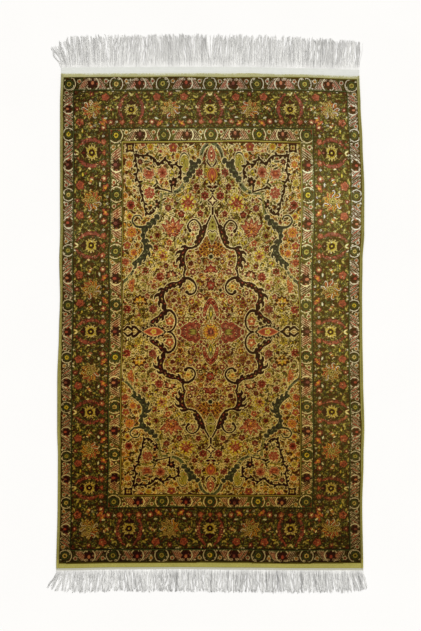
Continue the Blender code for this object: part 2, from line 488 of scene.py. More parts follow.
def medallion_growth(chart, half):
    """The dusty crescent that hugs a medallion, and the flowers behind it, to half way."""
    crescent = [(14, half * 0.80), (28, half * 0.50), (36, half * 0.12)]
    crescent += [(34, -half * 0.24), (25, -half * 0.52)]
    chart.stroke(crescent, 3, 8.5, 11, 8.5, 3)
    chart.lay((1.2, "plum"), (0, "brick"), (-2.4, "mauve"))
    for number, place in enumerate(smooth_route(crescent, 3.6)):
        chart.disc(tuple(place + (2.4 * (-1) ** number, 0)), 2.2)
        chart.lay((0, chart.pick("rose", "pink", "brick", "green", "mauve", "brown")))
    bloom(chart, (29, -half * 0.66), 8.6, -60, "red", "pink")
    chart.leaf((42, half * 0.58), 15, 6.5, 38)
    chart.leaf((42, half * 0.58), 11, 5.0, 115)
    chart.lay((0.9, "night"), (0, "straw"), (-1.9, "sand"))
    chart.stroke([(49, -half * 0.34), (43, -half * 0.05), (46, half * 0.2), (55, half * 0.44)], 1.5)
    chart.lay((0, "olive"))
    for ahead, aside, turn, yarn in (
        (45, half * 0.22, 25, "straw"),
        (47, -half * 0.14, -40, "teal"),
        (44, 3, 100, "cream"),
        (43, -half * 0.46, 40, "olive"),
        (12, -half * 0.84, 10, "teal"),
        (20, half * 0.86, 20, "straw"),
        (36, half * 0.82, -30, "moss"),
    ):
        chart.leaf((ahead, aside), 10, 4.4, turn)
        chart.lay((0.6, "night"), (0, yarn), (-1.7, "sand"))
    chart.floret((46, -half * 0.64), 5.0, "pearl", "teal", "green")
    chart.daisy((20, -half * 0.86), 5.2, chart.pick("crimson", "mauve"), "plum", "cream", 5, "moss")


def rosette_growth(chart, half):
    """The stems, flowers and leaves about a rosette, to half way."""
    chart.stroke([(24, -6), (38, -14), (52, -8), (60, 6), (57, 24)], 1.6, 1.6)
    chart.stroke([(22, 12), (33, 22), (42, half * 0.56)], 1.6, 1.6)
    chart.stroke([(24, -12), (30, -half * 0.48), (36, -half * 0.66)], 1.6, 1.6)
    chart.lay((0, "olive"))
    bloom(chart, (43, half * 0.64), 12.5, 190, "red", "brick")
    for ahead, aside, turn, length in ((36, 0.88, 170, 16), (32, 0.42, 215, 14), (54, 0.80, 20, 13)):
        chart.leaf((ahead, half * aside), length, 6, turn)
    chart.lay((0.8, "green"), (0, "straw"), (-1.9, "sand"))
    chart.fan((32, -half * 0.80), 15.0, 3, 180, 50, 0.24)
    chart.lay((1.2, "ink"), (0, "red"), (-3.4, "orange"))
    for spread in (20, 50, 80):
        chart.leaf((32, -half * 0.80), 10, 3.0, spread)
    chart.lay((0.3, "crimson"), (0, "amber"))
    chart.rose((60, -half * 0.66), 10.4, "brick", "pink", "cream", rim="plum")
    chart.daisy((0, half * 0.80), 8.0, "brick", "rose", "cream", 6, "plum")
    for side in (-1, 1):
        chart.leaf((side * 8, half * 0.80), 15, 5.5, 90 - side * 78)
        chart.leaf((side * 8, half * 0.66), 11, 4.0, 90 - side * 60)
    chart.lay((0.6, "night"), (0, "olive"), (-1.8, "straw"))
    chart.floret((10, -half * 0.84), 5.0, "pearl", "moss", "green")
    chart.floret((0, -half * 0.68), 4.4, "amber", "brown", "green")
    for k in range(5):
        chart.leaf((45 + 3.8 * k, 3 - 2.2 * k), 10.5, 3.2, 66)
        chart.lay((0.7, "brown"), (0, ("cream", "pink", "amber")[k % 3]))
    for ahead, aside, turn, yarn in (
        (62, half * 0.28, 60, "teal"),
        (66, half * 0.50, 10, "lemon"),
        (58, half * 0.90, 170, "straw"),
        (64, 16, 200, "straw"),
        (50, -half * 0.44, 190, "pearl"),
        (44, -half * 0.28, 20, "moss"),
        (20, half * 0.68, 120, "teal"),
        (17, -half * 0.64, 230, "straw"),
        (68, -half * 0.32, 100, "straw"),
        (48, -half * 0.92, 10, "teal"),
        (72, half * 0.10, 150, "olive"),
        (24, -half * 0.9, 170, "olive"),
    ):
        chart.leaf((ahead, aside), 12, 5.0, turn + chart.dye.uniform(-15, 15))
        chart.lay((0.7, "night"), (0, yarn), (-1.8, "sand"))


def paint_band_lines(chart):
    """The narrow lines that part the bands, from the rim in."""
    for inner, outer, yarn in (
        (462.5, 463.6, "night"),
        (463.6, 465.2, "olive"),
        (431.0, 433.2, "teal"),
        (428.6, 431.0, "night"),
        (316.5, 318.7, "night"),
        (314.3, 316.5, "teal"),
        (278.8, 281.2, "night"),
        (276.6, 278.8, "straw"),
        (274.6, 276.6, "brown"),
    ):
        fill_ring(chart, inner, outer, yarn)


def fill_ring(chart, inner, outer, yarn):
    """Fills the ring between two lines of the side, and the lines of the end that match them."""
    across = [line for band in BANDS for line in (band.side_in, band.side_out)]
    along = [line for band in BANDS for line in (band.end_in, band.end_out)]
    low, high = (np.interp(line, across, along) for line in (inner, outer))
    u, v = chart.cell_places(chart.everywhere)
    within = (u < outer) & (v < high)
    chart.cells[within & ~((u < inner) & (v < low))] = YARN_NUMBER[yarn]


# Half width of the medallion, and where the corners begin. Columns: along, across
MEDALLION_EDGE = (
    (0, 150), (60, 143), (127, 150), (160, 85), (182, 82), (250, 76), (262, 46), (306, 36), (352, 0),
)
CORNER_EDGE = (
    (143, 277), (209, 239), (230, 205), (274, 211), (309, 208),
    (355, 161), (412, 139), (460, 75), (505, 32), (540, 0),
)
CORNER_FOOT = CORNER_EDGE[0][0]


def zone_of(u, v):
    """Which ground of the field a place is on."""
    if u < np.interp(v, *zip(*MEDALLION_EDGE)):
        return "medallion"
    if v > CORNER_FOOT and u > np.interp(v, *zip(*CORNER_EDGE)):
        return "corner"
    return "open"


# What grows on each ground. Columns: yarns of the petals, of the eyes, of the leaves, of the outlines
GROWTH = {
    "medallion": (
        ("rose", "mauve", "brick", "crimson", "rose", "pink", "orange", "lemon"),
        ("ink", "brown", "plum", "ink"),
        ("moss", "green", "lemon", "brown"),
        ("gold", "cream", "gold"),
    ),
    "open": (
        ("rose", "pink", "orange", "lemon", "straw", "olive", "mauve", "lemon"),
        ("brown", "crimson", "ink", "olive"),
        ("olive", "lemon", "moss", "straw", "brown", "green"),
        ("sand", "cream", "straw"),
    ),
    "corner": (
        ("orange", "rose", "amber", "pink", "lemon"),
        ("brown", "crimson", "brown"),
        ("olive", "amber", "green", "brown"),
        ("cream", "gold", "gold"),
    ),
}


def lay_grounds(chart):
    """The field's three grounds: gold, sand between the medallion and the corners, and honey there."""
    fill_ring(chart, FIELD.side_in, FIELD.side_out, "gold")
    u, v = chart.cell_places(chart.everywhere)
    medallion, corner = (np.interp(v, *zip(*edge)) for edge in (MEDALLION_EDGE, CORNER_EDGE))
    field = (u < FIELD.side_out) & (v < FIELD.end_out)
    chart.cells[(u > medallion) & ((u < corner) | (v < CORNER_FOOT)) & field] = YARN_NUMBER["sand"]
    chart.cells[(u >= corner) & (v >= CORNER_FOOT) & field] = YARN_NUMBER["honey"]


CURL_COUNT = 360
CURL_POINTS = 6
SPRIG_SPACING = 12.2
SPRIG_ROW_SHARE = 0.866
SPRIG_SCATTER = 3.5


def sow_curls(chart, layout):
    """The curling stems on the field's ground."""
    for _ in range(CURL_COUNT):
        u, v = layout.uniform(0, FIELD.side_out), layout.uniform(0, FIELD.end_out)
        size, begin, sweep = layout.uniform(9, 26), layout.uniform(0, 360), layout.uniform(110, 230)
        arc = np.radians(np.linspace(begin, begin + sweep, CURL_POINTS))
        shrink = np.linspace(1, 0.5, CURL_POINTS)
        yarn = ("brown", "green", "cream", "brown", "moss")[int(layout.integers(5))]
        route = [(u + size * s * math.cos(a), v + size * s * math.sin(a)) for a, s in zip(arc, shrink)]
        chart.stroke(route, 3.0, 2.2)
        chart.lay((1.5, "cream") if yarn != "cream" else (1.6, "brown"), (0, yarn))


def sow_sprigs(chart, layout):
    """The small flowers, buds and leaves of the field's ground, with larger ones in the medallion."""
    rows = int(FIELD.end_out / SPRIG_SPACING / SPRIG_ROW_SHARE) + 1
    columns = int(FIELD.side_out / SPRIG_SPACING) + 2
    for row in range(rows):
        for column in range(columns):
            u = (column + 0.5 * (row % 2)) * SPRIG_SPACING + layout.uniform(-SPRIG_SCATTER, SPRIG_SCATTER)
            v = row * SPRIG_SPACING * SPRIG_ROW_SHARE + layout.uniform(-SPRIG_SCATTER, SPRIG_SCATTER)
            kind, size, turn = layout.uniform(), layout.uniform(4.6, 7.6), layout.uniform(0, 360)
            ground = zone_of(u, v)
            petals, eyes, leaves, rims = GROWTH[ground]
            berries, growth = (0.70, 1.12) if ground == "medallion" else (0.36, 1.0)
            size *= growth
            if kind < berries:
                chart.floret((u, v), size, chart.pick(*petals), chart.pick(*eyes), chart.pick(*rims))
            elif kind < berries + 0.10:
                petal, heart, eye = chart.pick(*petals), chart.pick("lemon", "sand"), chart.pick(*eyes)
                chart.daisy((u, v), size + 1.5, petal, heart, eye, 6)
            elif kind < berries + 0.20:
                chart.cup((u, v), size + 2.5, turn, chart.pick(*petals), chart.pick(*eyes), "cream")
            else:
                for spread in (-42, 42, 165)[: 2 + int(kind * 100) % 2]:
                    chart.leaf((u, v), size * 2.0, size * 0.85, turn + spread)
                    chart.lay((1.8, chart.pick("brown", "cream", "brown")), (0, chart.pick(*leaves)))


# The yarns that fleck another one, where the weaver's outlines and shadings are too fine to draw
FLECKS = {
    "gold": ("straw", "olive", "brown"),
    "sand": ("cream", "olive", "brown"),
    "honey": ("cream", "olive", "brown"),
    "cream": ("sand", "lemon", "olive"),
    "rose": ("brown", "pink", "crimson"),
    "pink": ("rose", "cream", "brown"),
    "mauve": ("plum", "pink", "ink"),
    "crimson": ("ink", "rose", "ink"),
    "brick": ("crimson", "rose", "ink"),
    "red": ("crimson", "orange", "brown"),
    "orange": ("red", "amber", "brown"),
    "amber": ("brown", "lemon", "orange"),
    "lemon": ("olive", "cream", "brown"),
    "olive": ("green", "straw", "green"),
    "moss": ("night", "olive", "green"),
    "green": ("sage", "mauve", "brown", "olive"),
    "slate": ("night", "sage", "teal"),
    "sage": ("slate", "sand", "teal"),
    "plum": ("ink", "mauve", "ink"),
    "straw": ("olive", "sand", "brown"),
}


# How many choices a yarn's partners share evenly, and the length and width of a fleck in cells
FLECK_CHOICES = 12
FLECK_LENGTH = 6
FLECK_WIDTH = 4


def fleck(chart, layout, band, number):
    """Flecks a band with short runs of knots in the yarns that go with what is there."""
    partners = np.arange(len(YARNS))[:, None].repeat(FLECK_CHOICES, 1)
    for yarn, others in FLECKS.items():
        numbers = [YARN_NUMBER[other] for other in others]
        partners[YARN_NUMBER[yarn]] = numbers * (FLECK_CHOICES // len(others))
    rows = (layout.uniform(0, band.end_out, number) / CELL).astype(int)
    columns = (layout.uniform(0, band.side_out, number) / CELL).astype(int)
    within = (rows * CELL > band.end_in) | (columns * CELL > band.side_in)
    choice = layout.integers(0, FLECK_CHOICES, number)
    across, along = layout.integers(-1, 2, number), layout.integers(0, 2, number)
    for step in range(FLECK_LENGTH):
        for wide in range(FLECK_WIDTH):
            r = np.clip(rows + step * along, 0, chart.cells.shape[0] - 1)
            c = np.clip(columns + step * across + wide, 0, chart.cells.shape[1] - 1)
            here = chart.cells[r, c]
            chart.cells[r, c] = np.where(within, partners[here, choice], here)


# Steps along a route from one lobe, vein, thorn or mark on a slate stem to the next
LOBE_STEP = 32
VEIN_STEP = 12
THORN_STEP = 26
SLATE_MARK_STEP = 13


def along_route(points, widths):
    """A smooth route, its half widths, and its course in degrees at each place."""
    route = smooth_route(points)
    steps = np.gradient(route, axis=0)
    return route, half_widths(widths, len(route)), np.degrees(np.arctan2(steps[:, 1], steps[:, 0]))


def acanthus(chart, points, widths, side, reach):
    """Adds a scrolling leaf to the open shape: a rib with curved pointed lobes along it.

    The lobes are on one side of it, 1 or -1, or on both for 0.
    """
    route, radii, course = along_route(points, widths)
    chart.stroke(points, *(width * 1.12 for width in widths))
    for number, k in enumerate(range(6, len(route) - 4, LOBE_STEP)):
        length = radii[k] + reach * (0.75, 1.0, 0.8, 0.65)[number % 4]
        for one in (side,) if side else (-1, 1):
            tooth = [tuple(route[k])]
            for share, lean in ((0.45, 80), (0.8, 62), (1.0, 44)):
                tooth.append(polar(route[k], length * share, course[k] + one * lean))
            chart.stroke(tooth, 12.0, 11.5, 8.0, 3.0)


def veins(chart, leaves, *yarns):
    """Light veins along the ribs of scrolling leaves that are already laid."""
    for points, widths, *_ in leaves:
        route, radii, course = along_route(points, widths)
        for number, k in enumerate(range(8, len(route) - 6, VEIN_STEP)):
            if radii[k] > 4.5:
                chart.leaf(tuple(route[k]), 7.5, 3.2, course[k] + (50, -35, 15)[number % 3])
                chart.lay((0, yarns[number % len(yarns)]))


def thorny(chart, points, width, side):
    """Adds a vine with hooked thorns to the open shape, more of them on one side, 1 or -1."""
    route, _, course = along_route(points, (width, width))
    chart.stroke(points, width * 1.2, width, width * 1.2)
    for number, k in enumerate(range(10, len(route) - 8, THORN_STEP)):
        one = side if number % 3 else -side
        chart.leaf(tuple(route[k]), 14.0, 9.0, course[k] + one * 56, 0.6)


def blown(chart, at, size, outer, middle, heart, petals=7, line="brown"):
    """A large open flower: notched petals in two yarns, a ring of small ones, and a heart."""
    chart.lobes(at, size, petals, 0.26, 90)
    chart.lay((1.4, "cream"), (0, line), (-1.3, outer))
    for k in range(petals):
        turn = 90 + 360 / petals * (k + 0.5)
        chart.leaf(polar(at, size * 0.35, turn), size * 0.5, size * 0.2, turn)
    chart.lay((0, middle))
    chart.lobes(at, size * 0.46, 5, 0.3, 18)
    chart.lay((1.4, line), (0, middle))
    chart.lobes(at, size * 0.2, 4, 0.25)
    chart.lay((1.0, line), (0, heart))


def hook(chart, points, *widths):
    """Adds a scroll's curled end to the open shape, with a drop at its tip."""
    chart.stroke(points, *(width * 1.5 for width in widths))
    chart.disc(points[-1], widths[-1])


# The medallion's scrolling leaves. Columns: route, widths, side of the lobes, their reach
MEDALLION_LEAVES = (
    ([(20, 318), (27, 302), (35, 286), (42, 271), (49, 258)], (7, 13, 18, 15, 9), 1, 7.0),
    (
        [(85, 165), (96, 152), (108, 148), (122, 147), (134, 141), (146, 130)],
        (9, 13, 12, 12, 13, 10),
        -1,
        8.0,
    ),
    ([(143, 66), (152, 56), (161, 45), (173, 38), (184, 31), (190, 20)], (9, 13, 12, 12, 10, 7), -1, 10.0),
    ([(74, 253), (84, 243), (90, 226), (87, 208), (79, 192)], (9, 15, 17, 14, 8), 1, 18.0),
    ([(146, 131), (154, 118), (156, 104), (150, 92), (143, 82)], (9, 15, 17, 13, 8), 1, 18.0),
)

# The corners' slate leaves, with the same columns
SLATE_LEAVES = (
    ([(36, 500), (50, 490), (62, 474), (74, 458), (85, 444)], (5, 9, 12, 11, 9), 0, 6.0),
    ([(65, 500), (66, 480), (76, 460)], (5, 8, 6), -1, 3.0),
    ([(168, 346), (180, 331), (196, 319), (209, 309)], (8, 11, 13, 12), 0, 6.0),
    ([(209, 311), (213, 292), (212, 274)], (15, 11, 7), 1, 3.0),
    ([(212, 276), (203, 259), (204, 240), (221, 220), (241, 207)], (9, 17, 17, 13, 9), -1, 14.0),
)


# The medallion's plain stems, and the curled ends of its scrolls. Columns: route, widths
MEDALLION_STEMS = (
    ([(0, 358), (8, 342), (16, 326), (22, 314)], (5.6, 6.6)),
    ([(46, 260), (58, 254), (74, 252)], (7.6, 7.0)),
    ([(79, 192), (84, 178), (84, 163)], (7.0, 6.4, 7.6)),
    ([(143, 84), (144, 74), (142, 62)], (7.4, 8.0)),
    ([(0, 300), (6, 304), (13, 300), (16, 292)], (3.4, 2.6)),
)
MEDALLION_HOOKS = (
    ([(34, 302), (39, 321), (53, 334), (68, 330), (76, 315), (69, 303)], (5.4, 4.0, 3.4, 5.2)),
    (
        [(86, 164), (70, 164), (54, 154), (46, 137), (53, 121), (67, 116), (76, 123)],
        (6.5, 6.0, 4.2, 4.4, 6.0),
    ),
    (
        [(143, 65), (127, 66), (114, 53), (109, 34), (113, 16), (124, 3), (140, 0)],
        (7.0, 5.4, 4.4, 4.2, 4.8),
    ),
)


def paint_medallion(chart):
    """The scrolling outline of the medallion and its pendants, in one quarter."""
    paint_bulb(chart)
    for points, widths in MEDALLION_STEMS:
        chart.stroke(points, *widths)
    for points, widths in MEDALLION_HOOKS:
        hook(chart, points, *widths)
    for leaf in MEDALLION_LEAVES:
        acanthus(chart, *leaf)
    chart.lay((1.7, "cream"), (0, "ink"))
    veins(chart, MEDALLION_LEAVES, "mauve", "plum", "rose", "plum", "sand")
    paint_side_pendant(chart)
    paint_finial(chart)
    paint_last_bud(chart)


def paint_bulb(chart):
    """The pale bulb at the medallion's tip, with its row of dots."""
    chart.leaf((0, 262), 86, 30, 90, 1.0)
    chart.lay((1.2, "cream"), (0, "brown"), (-2.4, "straw"))
    for along in (274, 288, 302, 316, 328):
        chart.disc((0, along), 3.0)
        chart.lay((1.2, "olive"), (0, "brown"))


def paint_side_pendant(chart):
    """A pointed lozenge, and a leafy cartouche that reaches the field's edge."""
    chart.leaf((137, 0), 86, 44, 0, 0.9)
    chart.lay((1.8, "cream"), (0, "ink"), (-7.2, "cream"), (-8.6, "orange"), (-12.0, "rose"))
    for ahead in (148, 160, 172, 184, 196, 208):
        chart.leaf((ahead, 17 - abs(ahead - 178) * 0.36), 12, 8, 70)
    chart.lay((0.8, "cream"), (0, "ink"))
    chart.lobes((178, 0), 8.5, 5, 0.3)
    chart.lay((1.0, "cream"), (0, "lemon"), (-4, "orange"))
    chart.stroke([(218, 0), (226, 4), (234, 12), (243, 15), (246, 8)], 7.0, 8.0, 9.5, 6.4)
    chart.stroke([(244, 3), (252, 10), (260, 14), (266, 9), (272, 4), (279, 0)], 6.8, 9.0, 7.4, 5.0)
    chart.lay((1.5, "cream"), (0, "ink"))
    chart.leaf((227, 0), 20, 8, 0, 1.0)
    chart.leaf((250, 0), 20, 8, 0, 1.0)
    chart.lay((0, "gold"), (-2.2, "cream"))


def paint_finial(chart):
    """The stem on the long axis, with its star, its leaves and its red lozenge."""
    chart.stroke([(0, 352), (0, 455)], 7.6, 6.6)
    chart.lay((1.7, "cream"), (0, "ink"))
    chart.star((0, 390), 17, 4, 0.66)
    chart.lay((1.5, "cream"), (0, "ink"), (-4.4, "mauve"), (-6.4, "cream"))
    chart.leaf((0, 426), 20, 10, 14)
    chart.leaf((0, 436), 15, 9, 24)
    chart.leaf((0, 414), 12, 7, 40)
    chart.lay((1.4, "cream"), (0, "ink"))
    chart.leaf((0, 440), 44, 31, 90, 0.9)
    chart.lay((2.6, "ink"), (1.0, "amber"), (-1.6, "brown"), (-2.8, "red"), (-6.0, "orange"), (-9.0, "rose"))
    for along, turn in ((424, 50), (432, 60), (440, 70), (448, 80)):
        chart.leaf((0, along), 15, 3.2, turn)
        chart.lay((0, ("amber", "crimson")[along % 16 // 8]))
    chart.disc((0, 436), 3.4)
    chart.lay((1.0, "plum"), (0, "cream"))


def paint_last_bud(chart):
    """The pointed bud at the end of the long axis."""
    chart.stroke([(3, 483), (9, 488), (14, 497), (9, 505)], 4.6, 6.4, 3.4)
    chart.lay((1.4, "cream"), (0, "ink"), (-2.0, "plum"))
    chart.leaf((0, 494), 48, 26, 90, 0.75)
    chart.lay((1.3, "cream"), (0, "brown"), (-1.4, "rose"), (-4.0, "pink"), (-6.5, "rose"), (-8.5, "crimson"))
    for along in (500, 512, 524):
        chart.leaf((0, along), 12, 4.0, 48)
        chart.lay((0, "pink"))
        chart.disc((0, along), 2.4)
        chart.lay((0, "cream"))


def paint_medallion_flowers(chart):
    """The large flowers inside the medallion, mirrored about both axes."""
    paint_tip_flowers(chart)
    for at, size, outer, heart in MEDALLION_FLOWERS:
        chart.rose(at, size, outer, heart, chart.pick("cream", "ink", "lemon"))
    chart.daisy((68, 139), 14, "lemon", "amber", "brown", 9)
    chart.daisy((56, 312), 12, "mauve", "pink", "crimson", 6)
    chart.lobes((128, 34), 14.5, 5, 0.2, 90)
    chart.lay((1.4, "cream"), (0, "red"), (-4.5, "orange"), (-9.0, "cream"))
    paint_inner_arch(chart)
    paint_side_bloom(chart)
    paint_great_daisy(chart)


def paint_tip_flowers(chart):
    """What stands on the long axis in the medallion's tip: berries, an eye, a palmette and a rose."""
    for k in range(7):
        angle = math.radians(-78 + 26 * k)
        for ring, size in ((18, 6.5), (30, 5.2)):
            at = (ring * math.cos(angle) + 2, 250 + ring * 0.6 * math.sin(angle))
            chart.floret(at, size, chart.pick("crimson", "rose", "brown"), "ink", "amber")
    chart.disc((0, 228), 7.2)
    chart.lay((1.6, "cream"), (0, "slate"), (-2.8, "night"))
    chart.fan((0, 182), 26, 5, 200, 90, 0.26)
    chart.lay((1.6, "cream"), (0, "crimson"), (-5.0, "rose"), (-12.0, "orange"))
    chart.leaf((0, 180), 14, 7, 90)
    chart.lay((0.8, "crimson"), (0, "pink"))
    chart.rose((0, 143), 17, "crimson", "rose", "mauve", turn=90)
    chart.disc((0, 143), 2.2)
    chart.lay((0.8, "cream"), (0, "ink"))


# The medallion's blown flowers. Columns: place, size, yarns of the petals and of the inner ones
MEDALLION_FLOWERS = (
    ((30, 172), 9.5, "amber", "orange"),
    ((27, 196), 9.0, "lemon", "brown"),
    ((56, 183), 11, "rose", "mauve"),
    ((62, 208), 10, "rose", "brown"),
    ((36, 214), 9.0, "mauve", "rose"),
    ((36, 112), 10, "rose", "red"),
    ((62, 95), 11, "orange", "red"),
    ((86, 107), 9.5, "mauve", "crimson"),
    ((94, 61), 12, "amber", "crimson"),
    ((118, 98), 9.0, "rose", "brown"),
    ((112, 120), 8.5, "rose", "crimson"),
    ((30, 128), 7.0, "moss", "night"),
    ((44, 144), 6.0, "moss", "night"),
    ((74, 40), 9.0, "lemon", "moss"),
)


def paint_inner_arch(chart):
    """The red arch on the long axis, with the green leaf that stands in it."""
    chart.stroke([(0, 97), (9, 88), (17, 72), (21, 52)], 17, 17, 14, 11)
    chart.lay((1.6, "cream"), (0, "brown"), (-1.6, "rose"), (-6.4, "crimson"))
    for at, turn in (((3, 94), 180), ((12, 84), 235), ((18, 70), 250), ((20, 58), 262)):
        chart.leaf(at, 8, 3.4, turn)
    chart.lay((0.6, "rose"), (0, "pink"))
    chart.leaf((0, 40), 38, 15, 90)
    chart.lay((1.0, "cream"), (0, "green"), (-2.0, "olive"), (-5.0, "lemon"))


def paint_side_bloom(chart):
    """The great red flower beside the middle, with a green heart and berries about it."""
    for at, size in (((48, 18), 19), ((66, 11), 21), ((82, 6), 15), ((52, 4), 14)):
        chart.lobes(at, size, 5, 0.16, 20)
    chart.lay((1.6, "cream"), (0, "brown"), (-1.6, "rose"), (-5.0, "brick"), (-9.0, "mauve"), (-13.0, "pink"))
    for turn in (0, 40, 80, -30, 130):
        chart.leaf(polar((62, 9), 8, turn), 11, 3.6, turn)
        chart.lay((0.7, "crimson"), (0, "rose"))
    chart.leaf((44, 2), 26, 11, 10)
    chart.lay((1.0, "brown"), (0, "olive"), (-2.4, "straw"))
    for at, size in (((30, 32), 7.0), ((40, 46), 6.5), ((22, 38), 5.0), ((96, 22), 7.0), ((100, 4), 6.0)):
        chart.floret(at, size, chart.pick("rose", "mauve"), "crimson")


def paint_great_daisy(chart):
    """The yellow flower in the medallion's middle."""
    petals = 14
    chart.lobes((0, 0), 28, petals, 0.2, 90)
    chart.lay((1.6, "cream"), (0, "brown"), (-1.4, "amber"), (-6.5, "lemon"), (-8.5, "amber"))
    beads(chart, 20.5, petals, 1.7, 90)
    chart.lay((0, "brown"))
    chart.lobes((0, 0), 15, 8, 0.2)
    chart.lay((1.0, "brown"), (0, "orange"), (-3.4, "brown"), (-5.4, "mauve"), (-10.0, "pink"))


# The flowers between the medallion and the corners. Columns: place, size, yarns of the outer and
# the middle petals and of the heart, number of petals
OPEN_FLOWERS = (
    ((76, 383), 27, "lemon", "rose", "pink", 9),
    ((169, 291), 16, "straw", "crimson", "ink", 8),
    ((159, 168), 15, "rose", "crimson", "pink", 9),
    ((181, 70), 15, "mauve", "rose", "pink", 6),
    ((262, 69), 15, "rose", "crimson", "pink", 7),
    ((150, 229), 20, "lemon", "pink", "crimson", 8),
    ((226, 30), 16, "lemon", "straw", "moss", 7),
    ((204, 186), 13, "rose", "brown", "pink", 6),
    ((110, 205), 12, "orange", "brown", "lemon", 6),
    ((24, 404), 14, "rose", "crimson", "pink", 6),
    ((38, 352), 11, "rose", "brown", "pink", 5),
    ((50, 428), 11, "rose", "brown", "pink", 6),
    ((40, 466), 13, "rose", "mauve", "crimson", 6),
    ((96, 350), 12, "brown", "rose", "pink", 5),
    ((104, 408), 11, "lemon", "amber", "brown", 6),
    ((136, 368), 12, "mauve", "rose", "pink", 6),
    ((20, 330), 8, "rose", "brown", "pink", 5),
    ((248, 188), 11, "orange", "rose", "pink", 6),
    ((258, 110), 11, "straw", "moss", "pink", 6),
    ((140, 200), 10, "mauve", "brown", "lemon", 5),
    ((178, 140), 11, "pink", "rose", "lemon", 6),
    ((132, 268), 11, "orange", "rose", "lemon", 5),
    ((176, 252), 12, "rose", "brown", "amber", 6),
    ((200, 110), 10, "rose", "mauve", "pink", 5),
    ((140, 392), 9, "orange", "brown", "lemon", 5),
)


def paint_open_flowers(chart):
    """The large flowers between the medallion and the corners."""
    for at, size, outer, middle, heart, petals in OPEN_FLOWERS:
        blown(chart, at, size, outer, middle, heart, petals, ("brown", "crimson")[petals % 2])
    for turn in (60, 90, 120, 35, 145):
        chart.leaf((122, 298), 46, 17, turn)
    chart.lobes((122, 306), 24, 7, 0.24, 90)
    chart.lay((1.6, "cream"), (0, "brown"), (-1.5, "rose"), (-4.5, "pink"), (-7.0, "orange"), (-11.0, "rose"))
    chart.palmette((122, 296), 19, 90, "orange", "pink", "amber", rim="crimson")
    chart.palmette((124, 170), 22, 75, "brown", "pink", "cream")
    chart.palmette((222, 90), 28, 90, "brown", "amber", "lemon")
    chart.palmette((222, 88), 15, -90, "amber", "brown", "lemon")
    chart.palmette((214, 140), 15, 120, "straw", "sand", "moss")
    chart.palmette((190, 206), 15, 60, "straw", "lemon", "rose")
    chart.palmette((100, 272), 14, -60, "straw", "lemon", "brown")
    chart.fan((238, 141), 24, 5, 170, 10, 0.2)
    chart.lay((1.5, "cream"), (0, "brown"), (-1.5, "orange"), (-5.0, "red"), (-11.0, "amber"))


# The flowers of the corner. Columns: place, size, yarns of the outer and the middle petals and of
# the heart
CORNER_FLOWERS = (
    ((119, 536), 15, "rose", "red", "amber"),
    ((256, 490), 12, "orange", "amber", "lemon"),
    ((253, 378), 15, "rose", "crimson", "ink"),
    ((250, 300), 17, "orange", "amber", "red"),
    ((262, 262), 13, "rose", "orange", "lemon"),
    ((240, 240), 13, "amber", "orange", "red"),
    ((266, 212), 14, "orange", "rose", "pink"),
    ((258, 440), 11, "lemon", "straw", "moss"),
    ((190, 538), 12, "lemon", "amber", "orange"),
    ((213, 545), 8, "orange", "rose", "pink"),
    ((84, 522), 9, "rose", "pink", "pink"),
    ((27, 548), 8, "orange", "amber", "pink"),
    ((256, 345), 13, "lemon", "orange", "brown"),
    ((226, 352), 9, "straw", "moss", "lemon"),
    ((270, 405), 10, "orange", "amber", "brown"),
    ((142, 440), 9, "lemon", "rose", "pink"),
    ((232, 262), 10, "amber", "brown", "pink"),
    ((262, 528), 8, "amber", "rose", "pink"),
    ((60, 524), 9, "lemon", "olive", "pink"),
    ((106, 512), 10, "lemon", "amber", "rose"),
)

# The flowers that the arabesque holds, with the same columns
ARABESQUE_FLOWERS = (
    ((196, 466), 19, "pink", "rose", "orange"),
    ((154, 468), 17, "pink", "rose", "crimson"),
    ((194, 412), 18, "rose", "pink", "red"),
    ((222, 497), 10, "plum", "mauve", "pink"),
)

# The plain stems of the slate scroll. Columns: route, widths
SLATE_STEMS = (
    ([(0, 545), (12, 543), (22, 535), (30, 521), (34, 505)], (9, 10, 11, 9)),
    ([(84, 446), (93, 428), (108, 417), (124, 414), (142, 411), (157, 408)], (14, 13, 12, 10, 8, 6)),
    ([(158, 410), (156, 395), (158, 378), (162, 360), (170, 345)], (7, 9, 9, 11, 10)),
    (
        [(241, 206), (241, 188), (252, 171), (265, 158), (276, 147), (279, 110), (279, 62)],
        (7, 8, 9, 10, 9, 8, 6),
    ),
)
SLATE_HOOK = [(203, 314), (221, 314), (238, 318), (248, 333), (240, 347), (224, 347), (218, 338)]

# The arabesque's thorny vines. Columns: route, width, side with more thorns
VINES = (
    ([(245, 524), (228, 515), (208, 514), (190, 512), (176, 502), (168, 489), (161, 492)], 6.0, 1),
    (
        [(162, 491), (150, 501), (138, 499), (130, 488), (112, 489), (99, 477), (98, 461), (112, 450)],
        5.8,
        -1,
    ),
    ([(240, 521), (235, 500), (231, 472), (235, 458), (228, 444), (219, 437)], 6.0, 1),
    (
        [(219, 438), (223, 420), (216, 402), (211, 384), (208, 364), (196, 351), (182, 358), (176, 368)],
        5.8,
        -1,
    ),
)


def paint_corner(chart):
    """The corner: its flowers, a slate scroll with hooks, and a thorny burgundy arabesque."""
    for number, (at, size, outer, middle, heart) in enumerate(CORNER_FLOWERS):
        blown(chart, at, size, outer, middle, heart, 5 + number % 4, ("brown", "crimson")[number % 2])
    paint_oval_loop(chart)
    paint_slate_scroll(chart)
    paint_vines(chart)
    paint_tendrils(chart)
    paint_cross_flower(chart)
    paint_arabesque_flowers(chart)


